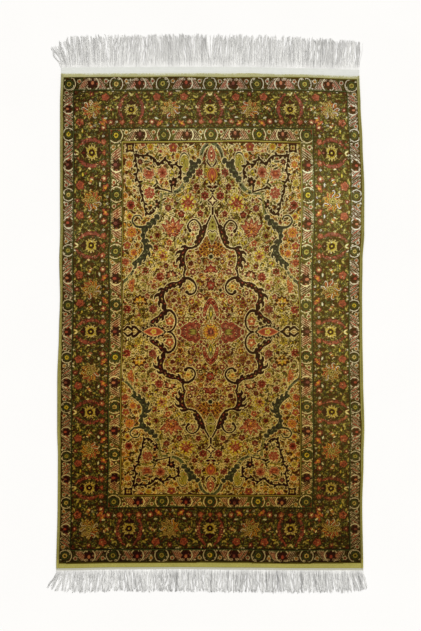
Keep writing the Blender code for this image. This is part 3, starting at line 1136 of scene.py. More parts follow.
def paint_oval_loop(chart):
    """The oval loop in the slate scroll, with a sprig in it."""
    chart.disc((85, 492), 17.5, 1.75, 90)
    chart.lay((1.0, "cream"), (0, "slate"), (-2.6, "cream"), (-4.0, "straw"))
    chart.stroke([(85, 462), (80, 480), (86, 498), (84, 512)], 1.8)
    chart.lay((0, "moss"))
    for at, yarn in (((80, 508), "lemon"), ((92, 494), "olive"), ((78, 476), "rose")):
        chart.floret(at, 5.2, yarn, "cream", "lemon")


def paint_slate_scroll(chart):
    """The scroll of slate stems and leaves that parts the corner from the open field."""
    for points, widths in SLATE_STEMS:
        chart.stroke(points, *widths)
        chart.lay((1.5, "cream"), (0, "slate"), (-1.2, "sage"))
        route, radii, course = along_route(points, widths)
        for k in range(4, len(route) - 4, SLATE_MARK_STEP):
            chart.leaf(tuple(route[k]), 9.0, max(radii[k], 3.0), course[k] + chart.dye.uniform(-35, 35))
            chart.lay((0, chart.pick("teal", "slate", "night", "slate", "teal", "sand")))
    hook(chart, SLATE_HOOK, 7.0, 4.6, 3.4, 3.0)
    for leaf in SLATE_LEAVES:
        acanthus(chart, *leaf)
    chart.lay((1.5, "cream"), (0, "slate"))
    veins(chart, SLATE_LEAVES, "teal", "sage", "night", "teal", "sage")
    chart.disc((223, 333), 2.4)
    chart.lay((0, "ink"))


def paint_vines(chart):
    """The arabesque's thorny vines, with knots of buds where they end."""
    bud_knots = ((121, 441), (172, 380))
    for vine in VINES:
        thorny(chart, *vine)
    chart.lay((1.5, "cream"), (0, "ink"))
    for middle in bud_knots:
        for k in range(5):
            chart.disc(polar(middle, 10, 72 * k + 20), 4.6)
        chart.star(middle, 13, 5, 0.6)
    chart.stroke([(112, 452), (120, 442), (126, 430), (125, 416)], 6.2, 5.6)
    chart.stroke([(176, 368), (172, 380), (160, 388), (144, 397)], 6.2, 5.6)
    chart.stroke([(124, 414), (142, 420), (160, 424), (168, 430)], 4.6, 5.6)
    for turn, length in ((90, 22), (-25, 16), (205, 16)):
        chart.leaf((169, 428), length, 9, turn, 0.6)
    chart.lay((1.4, "cream"), (0, "ink"))
    for at in bud_knots:
        chart.disc(at, 2.8)
        chart.lay((0, "pink"))


def paint_tendrils(chart):
    """The fine green tendrils between the vines."""
    chart.stroke([(219, 438), (205, 440), (190, 438), (172, 432)], 2.4)
    chart.stroke([(196, 438), (200, 450), (197, 470), (210, 486), (222, 496)], 2.0)
    chart.stroke([(150, 414), (156, 396), (160, 372), (158, 350)], 2.0)
    chart.lay((1.0, "straw"), (0, "moss"))


def paint_cross_flower(chart):
    """The dark cross-shaped flower in the corner, and the dark buds along the field's end."""
    middle = (253, 536)
    for turn in (45, 135, 225, -45):
        chart.leaf(middle, 22, 9, turn)
    chart.lobes(middle, 16, 4, 0.30, 45)
    chart.lay((1.4, "cream"), (0, "ink"))
    chart.lobes(middle, 9.5, 4, 0.30, 45)
    chart.lay((0, "plum"), (-1.6, "sand"))
    chart.disc(middle, 3.2)
    chart.lay((0, "crimson"))
    for at, turn, length in (((70, 540), 150, 30), ((50, 548), 20, 24), ((60, 541), 80, 12)):
        chart.leaf(at, length, 9, turn)
    chart.lay((1.3, "cream"), (0, "ink"), (-2.6, "plum"))
    chart.disc((150, 545), 6.2)
    chart.lay((1.0, "cream"), (0, "ink"), (-3.0, "cream"))


def paint_arabesque_flowers(chart):
    """The pink flowers that the arabesque holds, with their leaves."""
    for at, size, outer, middle, heart in ARABESQUE_FLOWERS:
        blown(chart, at, size, outer, middle, heart)
    leaves = (((212, 498), 180), ((220, 486), -95), ((206, 482), 200), ((184, 428), 140), ((176, 452), 240))
    for at, turn in leaves:
        chart.leaf(at, 21, 6.5, turn)
    chart.lay((1.2, "cream"), (0, "green"))
    chart.palmette((128, 466), 13, 200, "straw", "lemon", "moss")
    chart.palmette((188, 380), 13, 110, "straw", "moss", "cream")


# The field with the cells on its middle lines
WHOLE_FIELD = Band(-1.0, FIELD.side_out, -1.0, FIELD.end_out)


def paint_quarter(seed):
    """One quarter of the whole pattern. The seed only changes which yarns the dyer picks."""
    chart = Chart(RIM.side_out, RIM.end_out, seed)
    layout = np.random.default_rng(LAYOUT_SEED)
    fill_ring(chart, 0, RIM.side_out, "straw")
    lay_grounds(chart)
    sow_curls(chart, layout)
    sow_sprigs(chart, layout)
    paint_open_flowers(chart)
    paint_medallion_flowers(chart)
    fleck(chart, layout, WHOLE_FIELD, 6500)
    paint_corner(chart)
    fleck(chart, layout, WHOLE_FIELD, 1500)
    paint_medallion(chart)
    fill_ring(chart, MAIN_BORDER.side_in, MAIN_BORDER.side_out, "green")
    sow_border(chart, layout)
    paint_main_border(chart)
    fleck(chart, layout, MAIN_BORDER, 13000)
    for band, ground, yarns, intervals, pale, flecks in (
        (OUTER_GUARD, "green", ("night", "moss", "tan", "night", "teal", "brown"), (9, 6), "tan", 2500),
        (INNER_GUARD, "moss", ("brown", "moss", "cream", "olive", "sand", "red"), (7, 4), "cream", 1500),
    ):
        fill_ring(chart, band.side_in, band.side_out, ground)
        sow_guard(chart, layout, band, yarns)
        paint_guard(chart, band, intervals, pale)
        fleck(chart, layout, band, flecks)
    fill_ring(chart, RIM.side_in, RIM.side_out, "flax")
    paint_band_lines(chart)
    return chart


GUARD_SPACING = 6.5
GUARD_SCATTER = 0.4
GUARD_OVERLAP = 4


def sow_guard(chart, layout, band, yarns):
    """Small leaves in dark and pale yarns on a guard border's ground."""
    for row in range(int(band.end_out / GUARD_SPACING) + 1):
        for column in range(int(band.side_out / GUARD_SPACING) + 1):
            scatter = [layout.uniform(-GUARD_SCATTER, GUARD_SCATTER) for _ in range(2)]
            u, v = (column + scatter[0]) * GUARD_SPACING, (row + scatter[1]) * GUARD_SPACING
            turn, yarn = layout.uniform(0, 360), yarns[int(layout.integers(len(yarns)))]
            if u > band.side_in - GUARD_OVERLAP or v > band.end_in - GUARD_OVERLAP:
                chart.leaf((u, v), 8.0, 3.6, turn)
                chart.lay((0.8, "brown"), (0, yarn))


BORDER_SPACING = 7.6
BORDER_SCATTER = 3
BORDER_LEAF_SHARE = 0.76


def sow_border(chart, layout):
    """The small leaves and buds that fill the main border's ground."""
    leaves = ("moss", "teal", "olive", "moss", "brown", "slate", "olive", "straw")
    petals = ("rose", "moss", "sand", "brown", "brick")
    for row in range(int(MAIN_BORDER.end_out / BORDER_SPACING) + 1):
        for column in range(int(MAIN_BORDER.side_out / BORDER_SPACING) + 1):
            scatter = [layout.uniform(-BORDER_SCATTER, BORDER_SCATTER) for _ in range(2)]
            u = (column + 0.5 * (row % 2)) * BORDER_SPACING + scatter[0]
            v = row * BORDER_SPACING + scatter[1]
            size, turn, kind = layout.uniform(2.4, 4.4), layout.uniform(0, 360), layout.uniform()
            if u < MAIN_BORDER.side_in and v < MAIN_BORDER.end_in:
                continue
            if kind < BORDER_LEAF_SHARE:
                chart.leaf((u, v), size * 2.6, size * 1.15, turn)
                chart.lay((0.8, "night"), (0, chart.pick(*leaves)))
            else:
                chart.floret((u, v), size * 0.95, chart.pick(*petals), "brown", "green")


# Sizes of the rug, in metres, as the part's solids have them
HALF_LENGTH = 0.775
HALF_PILE_WIDTH = 0.4697
GROUND_TOP = 0.0012
PILE_FOOT = 0.0010
PILE_TOP = 0.0029
PILE_EDGE_DROP = 0.0008
GROUND_INSET = 0.0002
SELVEDGE_WIDTH = 0.0050
SELVEDGE_HEIGHT = 0.0034
SEAM_GAP = 0.0003
BAND_THICKNESS = 0.0013
BAND_REACH = 1 + (SEAM_GAP + SELVEDGE_WIDTH) / HALF_PILE_WIDTH

# A handmade rug is never quite straight. Columns: place along the length, then how far the
# left and the right side lie outside the straight line there.
SIDE_WANDER = (
    (-0.775, 0.0035, -0.0028),
    (-0.590, 0.0005, -0.0045),
    (-0.440, 0.0005, 0.0005),
    (-0.340, 0.0035, 0.0038),
    (-0.190, 0.0042, 0.0010),
    (-0.040, 0.0000, -0.0003),
    (0.060, -0.0026, -0.0002),
    (0.180, 0.0008, 0.0020),
    (0.270, -0.0012, 0.0080),
    (0.410, 0.0002, 0.0092),
    (0.560, 0.0013, 0.0045),
    (0.680, 0.0018, -0.0008),
    (0.775, -0.0006, -0.0040),
)

# Columns: share of the half width from the middle, then how far the near and the far end lie
# outside the straight line there.
END_WANDER = (
    (-1.0, 0.0010, 0.0000),
    (-0.6, -0.0018, 0.0014),
    (-0.2, -0.0026, 0.0024),
    (0.2, -0.0012, 0.0016),
    (0.6, 0.0004, -0.0018),
    (1.0, 0.0006, -0.0072),
)

# The fringe. Columns: share of the half width from the middle, lean to the right in degrees,
# and length of the strands there.
FAR_LOCKS = (
    (-1.00, -34.0, 0.074),
    (-0.97, -19.0, 0.090),
    (-0.92, -5.0, 0.104),
    (-0.55, 1.5, 0.107),
    (-0.15, -2.0, 0.108),
    (0.25, 3.0, 0.107),
    (0.60, 1.0, 0.104),
    (0.90, 3.0, 0.099),
    (1.00, 5.0, 0.096),
)
NEAR_LOCKS = (
    (-1.00, -33.0, 0.062),
    (-0.96, -16.0, 0.068),
    (-0.90, -4.0, 0.071),
    (-0.35, 1.0, 0.071),
    (0.15, -2.0, 0.072),
    (0.60, 3.0, 0.072),
    (0.90, 7.0, 0.070),
    (0.97, 13.0, 0.066),
    (1.00, 18.0, 0.062),
)

# The two ends: name, direction along Y, length of the flat-woven band and its colour, the locks,
# number of strands, how far they cling together, brightness of the silk at the root and at the
# tip (at the near end the darker roots are painted shade), how much it differs by twists and how
# deep the painted shade of low-lying twists is, seed
End = namedtuple("End", "name direction band colour locks strands cling tones contrast seed")
ENDS = (
    End("far", 1, 0.022, (225, 227, 222), FAR_LOCKS, 2700, 0.30, (0.90, 0.79), 0.09, 11),
    End("near", -1, 0.009, (187, 186, 170), NEAR_LOCKS, 2100, 0.60, (0.84, 0.92), 0.17, 23),
)
LOCK_COUNT = 130
LOCK_LENGTH_SPREAD = 0.0040
LENGTH_WAVE = 2.4
CLUMPS = 26
CLUMP_PULL = 0.08
TWISTS = 290
STRAY_SHARE = 0.15
STRAND_RADIUS = 0.00040
STRAND_OVERLAP = 0.0030
STRAND_TURNS = np.radians((90, 210, 330))

# Where a strand has its rings, as shares of its length. The second ring, close to the root, keeps
# the shading even from the band on
STRAND_RINGS = np.concatenate(((0, 0.012), np.linspace(0.11, 1, 9)))[None, :]

# Waves of the strands. Columns: sideways swing in metres, least and most waves in a strand
TWIST_WAVES = (0.0024, 0.6, 1.8)
STRAND_WAVES = (0.0008, 1.6, 3.2)

# The bands' mesh
BAND_CELLS = 460
BAND_CELL_LENGTH = 0.0016

# How fine the cloth is knotted: a mesh cell holds two knots each way. The ground's cells are
# twice as large
CELLS_ACROSS = 376
CELLS_ALONG = 618
PILE_STRIPS = 3
PATTERN_HALF_WIDTH = 468.7

# How far the knots slip from the chart across and along the rug, in millimetres
SLIP_ACROSS = 1.4
SLIP_ALONG = 1.6

# How unevenly the yarn takes its dye, by knots, by rows and by patches
KNOT_SPREAD = 0.10
ROW_SPREAD = 0.10
ROWS_ALIKE = 9
PATCH_SPREAD = 0.07

# How far the white warps are knotted off over the far rim, their colour, and how much it covers
FRAY = 0.0038
FRAY_LIGHT = (0.72, 0.74, 0.68)
FRAY_COVER = 0.65

# The weaver beat the knots closer at one end than at the other.
# Columns: place on the chart, and place along the rug, in millimetres
BEAT = (
    (-776.0, -777.3),
    (-755.5, -753.8),
    (-718.0, -717.4),
    (-589.0, -589.4),
    (-552.0, -554.0),
    (-414.0, -434.3),
    (-276.0, -309.5),
    (-138.0, -179.5),
    (0.0, -44.3),
    (138.0, 96.2),
    (276.0, 242.1),
    (414.0, 393.3),
    (552.0, 556.2),
    (589.0, 598.6),
    (718.0, 722.1),
    (755.5, 762.2),
    (776.0, 775.4),
)

# Painted shade and sheen along the rug: the pile is darker and more saturated towards the near
# end and paler towards the far end. Columns: place along the rug in metres, then the share of the
# yarn's red, green and blue light that it gives back there
SHADE_AND_SHEEN_ALONG = (
    (-0.775, 0.64, 0.60, 0.52),
    (-0.520, 0.76, 0.71, 0.53),
    (-0.300, 0.88, 0.84, 0.72),
    (0.000, 1.00, 1.00, 1.00),
    (0.350, 1.08, 1.14, 1.30),
    (0.775, 1.02, 1.10, 1.35),
)

# Painted sheen: a pale highlight painted into the pile's colour where its nap leans towards the
# light. Columns: place along the rug in metres, then how strong the sheen is at the left border,
# in the middle, and at the right border. The closer clipped field shows less of it.
SHEEN = (
    (-0.775, 0.0, 0.0, 0.15),
    (-0.500, 0.0, 0.0, 0.50),
    (-0.300, 0.1, 0.3, 1.20),
    (0.000, 0.4, 0.6, 1.90),
    (0.300, 1.3, 1.2, 2.70),
    (0.600, 0.4, 1.8, 1.80),
    (0.775, 0.0, 1.8, 1.00),
)
SHEEN_BORDER_MIDDLE = 0.42
FIELD_SHEEN = 0.55
FIELD_HALF_WIDTH, FIELD_HALF_LENGTH = 0.279, 0.556
# The painted sheen's pale light, and how much it brightens the yarn's red, green and blue
SHEEN_LIGHT = (0.023, 0.015, 0.003)
SHEEN_GAIN = (0.22, 0.36, 0.84)
# How much the painted sheen's strength is streaked, in soft diagonal bands and row by row
SHEEN_STREAKS = 0.30
SHEEN_ROW_STREAKS = 0.22

# The plain rim and the overcast sides were dyed apart from the rest. Columns as for the pile's
# painted shade and sheen along the rug
RIM_LOTS = (
    (-0.775, 1.48, 1.54, 1.42),
    (-0.754, 1.25, 1.28, 1.10),
    (-0.745, 0.95, 0.95, 0.88),
    (-0.500, 1.08, 1.10, 0.95),
    (0.000, 1.06, 1.08, 0.98),
    (0.700, 1.06, 1.10, 1.16),
    (0.775, 1.75, 1.95, 3.40),
)


def eased(table, places, column):
    """The table's values at places, easing from row to row. The first column holds the places."""
    rows = np.array(table)
    low = np.clip(np.searchsorted(rows[:, 0], places) - 1, 0, len(rows) - 2)
    share = np.clip((places - rows[low, 0]) / (rows[low + 1, 0] - rows[low, 0]), 0, 1)
    share = share * share * (3 - 2 * share)
    return rows[low, column] + (rows[low + 1, column] - rows[low, column]) * share


def cloth_points(across, along):
    """Places on the cloth, from shares that run from -1 to 1 over it."""
    straight = along * HALF_LENGTH
    left = -(HALF_PILE_WIDTH + eased(SIDE_WANDER, straight, 1))
    right = HALF_PILE_WIDTH + eased(SIDE_WANDER, straight, 2)
    outside = np.where(along < 0, eased(END_WANDER, across, 1), eased(END_WANDER, across, 2))
    return (left + right) / 2 + across * (right - left) / 2, straight + along * outside


def band_points(direction, across, distance):
    """Places on the flat-woven band, at a distance past the cloth's end."""
    inside = np.clip(across, -1, 1)
    x, y = cloth_points(inside, np.full_like(inside, float(direction)))
    return x + (across - inside) * HALF_PILE_WIDTH, y + direction * distance


def soft_noise(seed, turns, *places):
    """A smooth random value at places, mostly from -1 to 1. More turns make it finer."""
    rng = np.random.default_rng(seed)
    count = 10
    total = np.zeros(np.broadcast(*places).shape)
    for _ in range(count):
        spin = rng.normal(size=len(places)) * turns
        total += np.sin(sum(turn * place for turn, place in zip(spin, places)) + rng.uniform(0, 2 * np.pi))
    return total / count**0.5 / 0.9


def linear(srgb):
    """Light from colours as the eye sees them, from 0 to 1."""
    return np.where(srgb <= 0.04045, srgb / 12.92, ((srgb + 0.055) / 1.055) ** 2.4)


def dye_and_sheen_share(lots, y):
    """The share of its red, green and blue light that a colour keeps at each place along the rug, from a
    table of yarn lots or of the pile's painted shade and sheen.
    """
    rows = np.array(lots)
    return np.stack([np.interp(y, rows[:, 0], rows[:, 1 + k]) for k in range(3)], -1)


def knot_yarns(across, along):
    """The yarn of each knot, from the four quarters of the chart, with the weaver's slips."""
    u = PATTERN_HALF_WIDTH * across + SLIP_ACROSS * soft_noise(1, 4.0, across, along * 1.6)
    straight = along * HALF_LENGTH * 1000 + SLIP_ALONG * soft_noise(2, 4.0, across, along * 1.6)
    v = np.interp(straight, [row[1] for row in BEAT], [row[0] for row in BEAT])
    yarns = np.zeros(across.shape, np.uint8)
    for quarter, (left, near) in enumerate(((False, False), (True, False), (False, True), (True, True))):
        cells = paint_quarter(QUARTER_SEED + quarter).cells
        rows = np.clip((np.abs(v) / CELL).astype(int), 0, cells.shape[0] - 1)
        columns = np.clip((np.abs(u) / CELL).astype(int), 0, cells.shape[1] - 1)
        here = ((u < 0) == left) & ((v < 0) == near)
        yarns[here] = cells[rows[here], columns[here]]
    return yarns


def knot_colours():
    """The colour of each knot of the pile as linear light, in rows along the rug, with painted shade and
    sheen in it.
    """
    rng = np.random.default_rng(KNOT_SEED)
    across = (np.arange(2 * CELLS_ACROSS) + 0.5) / CELLS_ACROSS - 1
    along = (np.arange(2 * CELLS_ALONG) + 0.5) / CELLS_ALONG - 1
    across, along = np.meshgrid(across, along)
    yarns = knot_yarns(across, along)
    dyed = linear(np.array(list(YARNS.values())) / 255)
    colours = dyed[yarns]
    # Each knot, each row and each skein takes the dye a little differently
    x, y = cloth_points(across, along)
    colours *= (1 + rng.normal(0, KNOT_SPREAD, yarns.shape))[..., None]
    single = rng.normal(0, 1, len(across) + ROWS_ALIKE - 1)
    rows = np.convolve(single, np.ones(ROWS_ALIKE) / ROWS_ALIKE, "valid")
    colours *= (1 + ROW_SPREAD * rows)[:, None, None]
    colours *= (1 + PATCH_SPREAD * soft_noise(4, 14.0, x, y))[..., None]
    # Painted shade and sheen along the rug: darker towards the near end, paler towards the far end
    colours *= dye_and_sheen_share(SHADE_AND_SHEEN_ALONG, y)
    # Painted sheen: pale streaks where the light glances off the pile
    colours = painted_sheen(colours, x, y)
    rim = yarns == YARN_NUMBER["flax"]
    plain = dyed[YARN_NUMBER["flax"]] * dye_and_sheen_share(RIM_LOTS, y[rim])
    colours[rim] = plain * (1 + rng.normal(0, KNOT_SPREAD, rim.sum()))[:, None]
    # The white warps are knotted off over the rim's last few millimetres at the far end
    from_end = (1 - along) * HALF_LENGTH
    uneven = 0.6 * soft_noise(7, 30.0, x * 2, x * 0) + 0.5 * rng.normal(0, 1, from_end.shape)
    knotted = from_end < FRAY * (1 + uneven)
    colours[knotted] = (1 - FRAY_COVER) * colours[knotted] + FRAY_COVER * np.array(FRAY_LIGHT)
    return np.clip(colours, 0.0005, 0.95)


def painted_sheen(colours, x, y):
    """Painted sheen: a pale highlight painted into the knots' colours where the pile leans towards the light,
    in soft streaks across the rug.
    """
    side = np.clip(x / SHEEN_BORDER_MIDDLE, -1, 1)
    left, middle, right = (eased(SHEEN, y, column) for column in (1, 2, 3))
    # lean is the strength of the painted sheen at each knot
    lean = left * np.maximum(-side, 0) + middle * (1 - np.abs(side)) + right * np.maximum(side, 0)
    lean[(np.abs(x) < FIELD_HALF_WIDTH) & (np.abs(y) < FIELD_HALF_LENGTH)] *= FIELD_SHEEN
    streaks = soft_noise(6, 16.0, x + 0.6 * y, 0.35 * (y - 0.6 * x))
    sheen_row_streaks = soft_noise(9, 900.0, x * 0.04, y)
    lean = np.clip(lean * (1 + SHEEN_STREAKS * streaks + SHEEN_ROW_STREAKS * sheen_row_streaks), 0, 4)[..., None]
    return colours * (1 + np.array(SHEEN_GAIN) * lean) + np.array(SHEEN_LIGHT) * lean


def mesh_object(name, points, faces, colours, domain):
    """A mesh in the scene, with a colour for each of its points or of its faces' corners: the yarn's dye,
    with painted shade and sheen where the caller puts them in.
    """
    mesh = bpy.data.meshes.new(name)
    mesh.from_pydata(points.tolist(), [], faces)
    layer = mesh.color_attributes.new("dye", "FLOAT_COLOR", domain)
    with_alpha = np.concatenate((colours, np.ones((len(colours), 1))), 1)
    layer.data.foreach_set("color", with_alpha.astype(np.float32).ravel())
    mesh.validate()
    obj = bpy.data.objects.new(name, mesh)
    bpy.context.scene.collection.objects.link(obj)
    return obj


# Painted shade on a slab's walls and bottom: how much of its light the knots' colour keeps there
WALL_SHADE = 0.6


def grid_slab(name, x, y, z, foot, knots):
    """A closed slab under a grid of points, whose top faces take a colour at each corner.

    knots holds two by two colours for each cell of the grid.
    """
    rows, columns = x.shape
    number = np.arange(rows * columns).reshape(rows, columns)
    top = np.stack((number[:-1, :-1], number[:-1, 1:], number[1:, 1:], number[1:, :-1]), -1).reshape(-1, 4)
    corners = np.stack((knots[0::2, 0::2], knots[0::2, 1::2], knots[1::2, 1::2], knots[1::2, 0::2]), 2)
    rim = np.concatenate((number[0, :-1], number[:-1, -1], number[-1, :0:-1], number[:0:-1, 0]))
    below = rows * columns + np.arange(len(rim))
    points = np.stack((x, y, z), -1).reshape(-1, 3)
    rim_points = points[rim].copy()
    rim_points[:, 2] = foot
    walls = np.stack((rim, below, np.roll(below, -1), np.roll(rim, -1)), -1)
    nearest = np.clip(np.stack(np.divmod(rim, columns), -1) * 2, 0, np.array(knots.shape[:2]) - 1)
    # The walls and the bottom take the nearest knot's colour, darkened as painted shade
    start = knots[nearest[:, 0], nearest[:, 1]] * WALL_SHADE
    end = np.roll(start, -1, 0)
    wall_corners = np.stack((start, start, end, end), 1)
    colours = np.concatenate((corners.reshape(-1, 3), wall_corners.reshape(-1, 3), start[::-1]))
    faces = top.tolist() + walls.tolist() + [below[::-1].tolist()]
    return mesh_object(name, np.concatenate((points, rim_points)), faces, colours, "CORNER")


# Size of the soft swells in the pile's top
SWELL = 0.00008


def build_pile(knots):
    """The knotted pile, in strips along the rug."""
    strips = []
    stops = np.linspace(0, CELLS_ALONG, PILE_STRIPS + 1).astype(int)
    for number, (start, stop) in enumerate(zip(stops, stops[1:])):
        across = np.linspace(-1, 1, CELLS_ACROSS + 1)
        along = np.linspace(-1, 1, CELLS_ALONG + 1)[start : stop + 1]
        across, along = np.meshgrid(across, along)
        x, y = cloth_points(across, along)
        z = np.full(x.shape, PILE_TOP) + SWELL * soft_noise(8, 60.0, x, y)
        edge = (np.abs(across) > 0.9999) | (np.abs(along) > 0.9999)
        z[edge] -= PILE_EDGE_DROP
        strips.append(grid_slab(f"pile_{number + 1}", x, y, z, PILE_FOOT, knots[2 * start : 2 * stop]))
    return strips


# The back's colour is that of the knots, and in part that of the ground's own threads
BACK_DYE, BACK_THREADS = 0.7, 0.3
THREAD_LIGHT = (0.40, 0.33, 0.22)


def build_ground(knots):
    """The woven ground under the pile. Its back shows the pattern, duller than the pile."""
    across = np.linspace(-1, 1, CELLS_ACROSS // 2 + 1) * (1 - GROUND_INSET / HALF_PILE_WIDTH)
    along = np.linspace(-1, 1, CELLS_ALONG // 2 + 1) * (1 - GROUND_INSET / HALF_LENGTH)
    x, y = cloth_points(*np.meshgrid(across, along))
    # The knots' colours bring the pile's painted shade and sheen to the back as well
    back = knots[::2, ::2] * BACK_DYE + BACK_THREADS * np.array(THREAD_LIGHT)
    slab = grid_slab("ground_cloth", x, y, np.zeros(x.shape), GROUND_TOP, back)
    slab.data.flip_normals()
    return slab


def ring_tubes(name, rings, shades):
    """Closed tubes. rings is tubes by rings by corners by 3, and shades a colour for each ring."""
    tubes, steps, corners, _ = rings.shape
    number = np.arange(tubes * steps * corners).reshape(tubes, steps, corners)
    beside = np.roll(number, -1, 2)
    sides = np.stack((number[:, :-1], beside[:, :-1], beside[:, 1:], number[:, 1:]), -1).reshape(-1, 4)
    faces = sides.tolist() + number[:, 0, ::-1].tolist() + number[:, -1].tolist()
    colours = np.repeat(shades.reshape(-1, 3), corners, 0)
    obj = mesh_object(name, rings.reshape(-1, 3), faces, colours, "POINT")
    obj.data.shade_smooth()
    return obj


# The selvedges' winding: turns of yarn, how far they stand proud, how deep the groove between two
# is as a share of the section, and how far a turn slants
WOUND_TURNS = 900
WOUND_CORNERS = 8
WOUND_PROUD = 0.0003
WOUND_GROOVE = 0.10
WOUND_SLANT = 0.0006


def build_selvedge(name, side):
    """The overcast edge: silk wound round the outermost warps, one ridge for each turn."""
    along = np.linspace(-1, 1, 2 * WOUND_TURNS + 1)
    x, y = cloth_points(np.full_like(along, float(side)), along)
    rng = np.random.default_rng(SELVEDGE_SEED + side)
    ridge = np.where(np.arange(len(along)) % 2 == 1, 1.0, 1 - WOUND_GROOVE)
    ridge = ridge + rng.normal(0, 0.012, len(along))
    angle = 2 * np.pi * (np.arange(WOUND_CORNERS) + 0.5) / WOUND_CORNERS - np.pi / 2
    middle = side * (SEAM_GAP + SELVEDGE_WIDTH / 2)
    out = np.cos(angle)[None, :] * (SELVEDGE_WIDTH / 2 + WOUND_PROUD) * ridge[:, None]
    up = np.maximum(SELVEDGE_HEIGHT / 2 * (1 + np.sin(angle)[None, :] * ridge[:, None]), 0.0001)
    slant = WOUND_SLANT * np.cos(angle)[None, :] * side
    rings = np.stack((x[:, None] + middle + out, y[:, None] + slant, up), -1)[None]
    by_turn = np.repeat(rng.normal(0, 1, WOUND_TURNS + 1), 2)[: len(along)]
    tone = 1 + 0.10 * by_turn + 0.10 * soft_noise(41, 9.0, along * 3)
    shade = linear(np.array(YARNS["flax"]) / 255)[None, :] * tone[:, None]
    return ring_tubes(name, rings, np.clip(shade * dye_and_sheen_share(RIM_LOTS, y), 0, 1)[None])


def build_band(end):
    """The flat-woven band between the pile and the fringe."""
    cells_out = max(int(end.band / BAND_CELL_LENGTH), 4)
    across = np.linspace(-BAND_REACH, BAND_REACH, BAND_CELLS + 1)
    across, distance = np.meshgrid(across, np.linspace(SEAM_GAP, end.band, cells_out + 1))
    x, y = band_points(end.direction, across, distance)
    rng = np.random.default_rng(BAND_SEED + end.direction)
    z = BAND_THICKNESS - 0.00012 + 0.00006 * rng.normal(0, 1, x.shape)
    z -= 0.0006 * np.clip((distance - end.band) / STRAND_OVERLAP + 1, 0, 1)
    threads = np.ones((2 * cells_out, 2 * BAND_CELLS, 1)) * linear(np.array(end.colour) / 255)
    by_row, by_thread = rng.normal(0, 1, (2 * cells_out, 1, 1)), rng.normal(0, 1, threads.shape[:2] + (1,))
    threads *= 1 + 0.035 * by_row + 0.02 * by_thread
    slab = grid_slab(f"band_{end.name}", x, y, z, 0.0, np.clip(threads, 0, 0.95))
    if end.direction < 0:
        slab.data.flip_normals()
    return slab


def group_of(share, count):
    """Which of count even groups across the rug each strand is in, from its share from -1 to 1."""
    return np.clip(((share + 1) / 2 * count).astype(int), 0, count - 1)


def strand_lengths(end, rng, share, twist):
    """How long each strand is, by its place, its lock, its twist, and chance."""
    wave = 0.5 + 0.5 * np.sin(LENGTH_WAVE * group_of(share, LOCK_COUNT) + end.direction)
    shorter = 0.07 * np.abs(rng.normal(0, 1, TWISTS))[twist] + 0.05 * np.abs(rng.normal(0, 1, end.strands))
    return (eased(end.locks, share, 2) - LOCK_LENGTH_SPREAD * wave) * (1 - shorter)


def strand_drift(end, rng, root_x, twist, sideways):
    """How far each tip lies beside its root, by its lean, its clump, its twist, and chance."""
    clumps = np.sort(rng.uniform(-HALF_PILE_WIDTH, HALF_PILE_WIDTH, CLUMPS))
    clump = clumps[np.abs(root_x[:, None] - clumps).argmin(1)]
    twist_x, _ = band_points(end.direction, (-1 + (2 * twist + 1) / TWISTS) * BAND_REACH, end.band)
    drift = sideways + CLUMP_PULL * (clump - root_x) + end.cling * (twist_x - root_x)
    drift = drift + rng.normal(0, 0.0045, TWISTS)[twist] + rng.normal(0, 0.0010, end.strands)
    stray = rng.uniform(0, 1, end.strands) < STRAY_SHARE
    return drift + np.where(stray, rng.normal(0, 0.008, end.strands), 0)


def waved(rng, x, group, count, size, slowest, fastest):
    """The strands' x, with a wave that each of count groups has in common."""
    cycles = rng.uniform(slowest, fastest, count)[group][:, None]
    start = rng.uniform(0, 1, count)[group][:, None]
    swing = rng.normal(0, size, count)[group][:, None]
    t = STRAND_RINGS
    return x + swing * np.sin(2 * np.pi * (cycles * t + start)) * np.sqrt(t)


def strand_shades(end, rng, x, y, twist, level):
    """The strands' colours: painted shade where a twist lies low under the others, and tones that differ from
    twist to twist.
    """
    root, tip = end.tones
    t = STRAND_RINGS
    # Brightness from root to tip, less painted shade where a twist lies low under the others
    tone = root + (tip - root) * t - 0.8 * end.contrast * (1 - level) * np.minimum(4 * t, 1)
    spread = rng.normal(0, 1, TWISTS)[twist] + 0.6 * rng.normal(0, 1, end.strands)
    tone = tone + end.contrast * spread[:, None] * np.minimum(0.1 + 3 * t, 1)
    tone = tone + 0.05 * soft_noise(end.seed, 60.0, x, y * 0.6)
    return np.clip(tone, 0.3, 0.97)[..., None] * np.array((1.0, 1.0, 0.98))


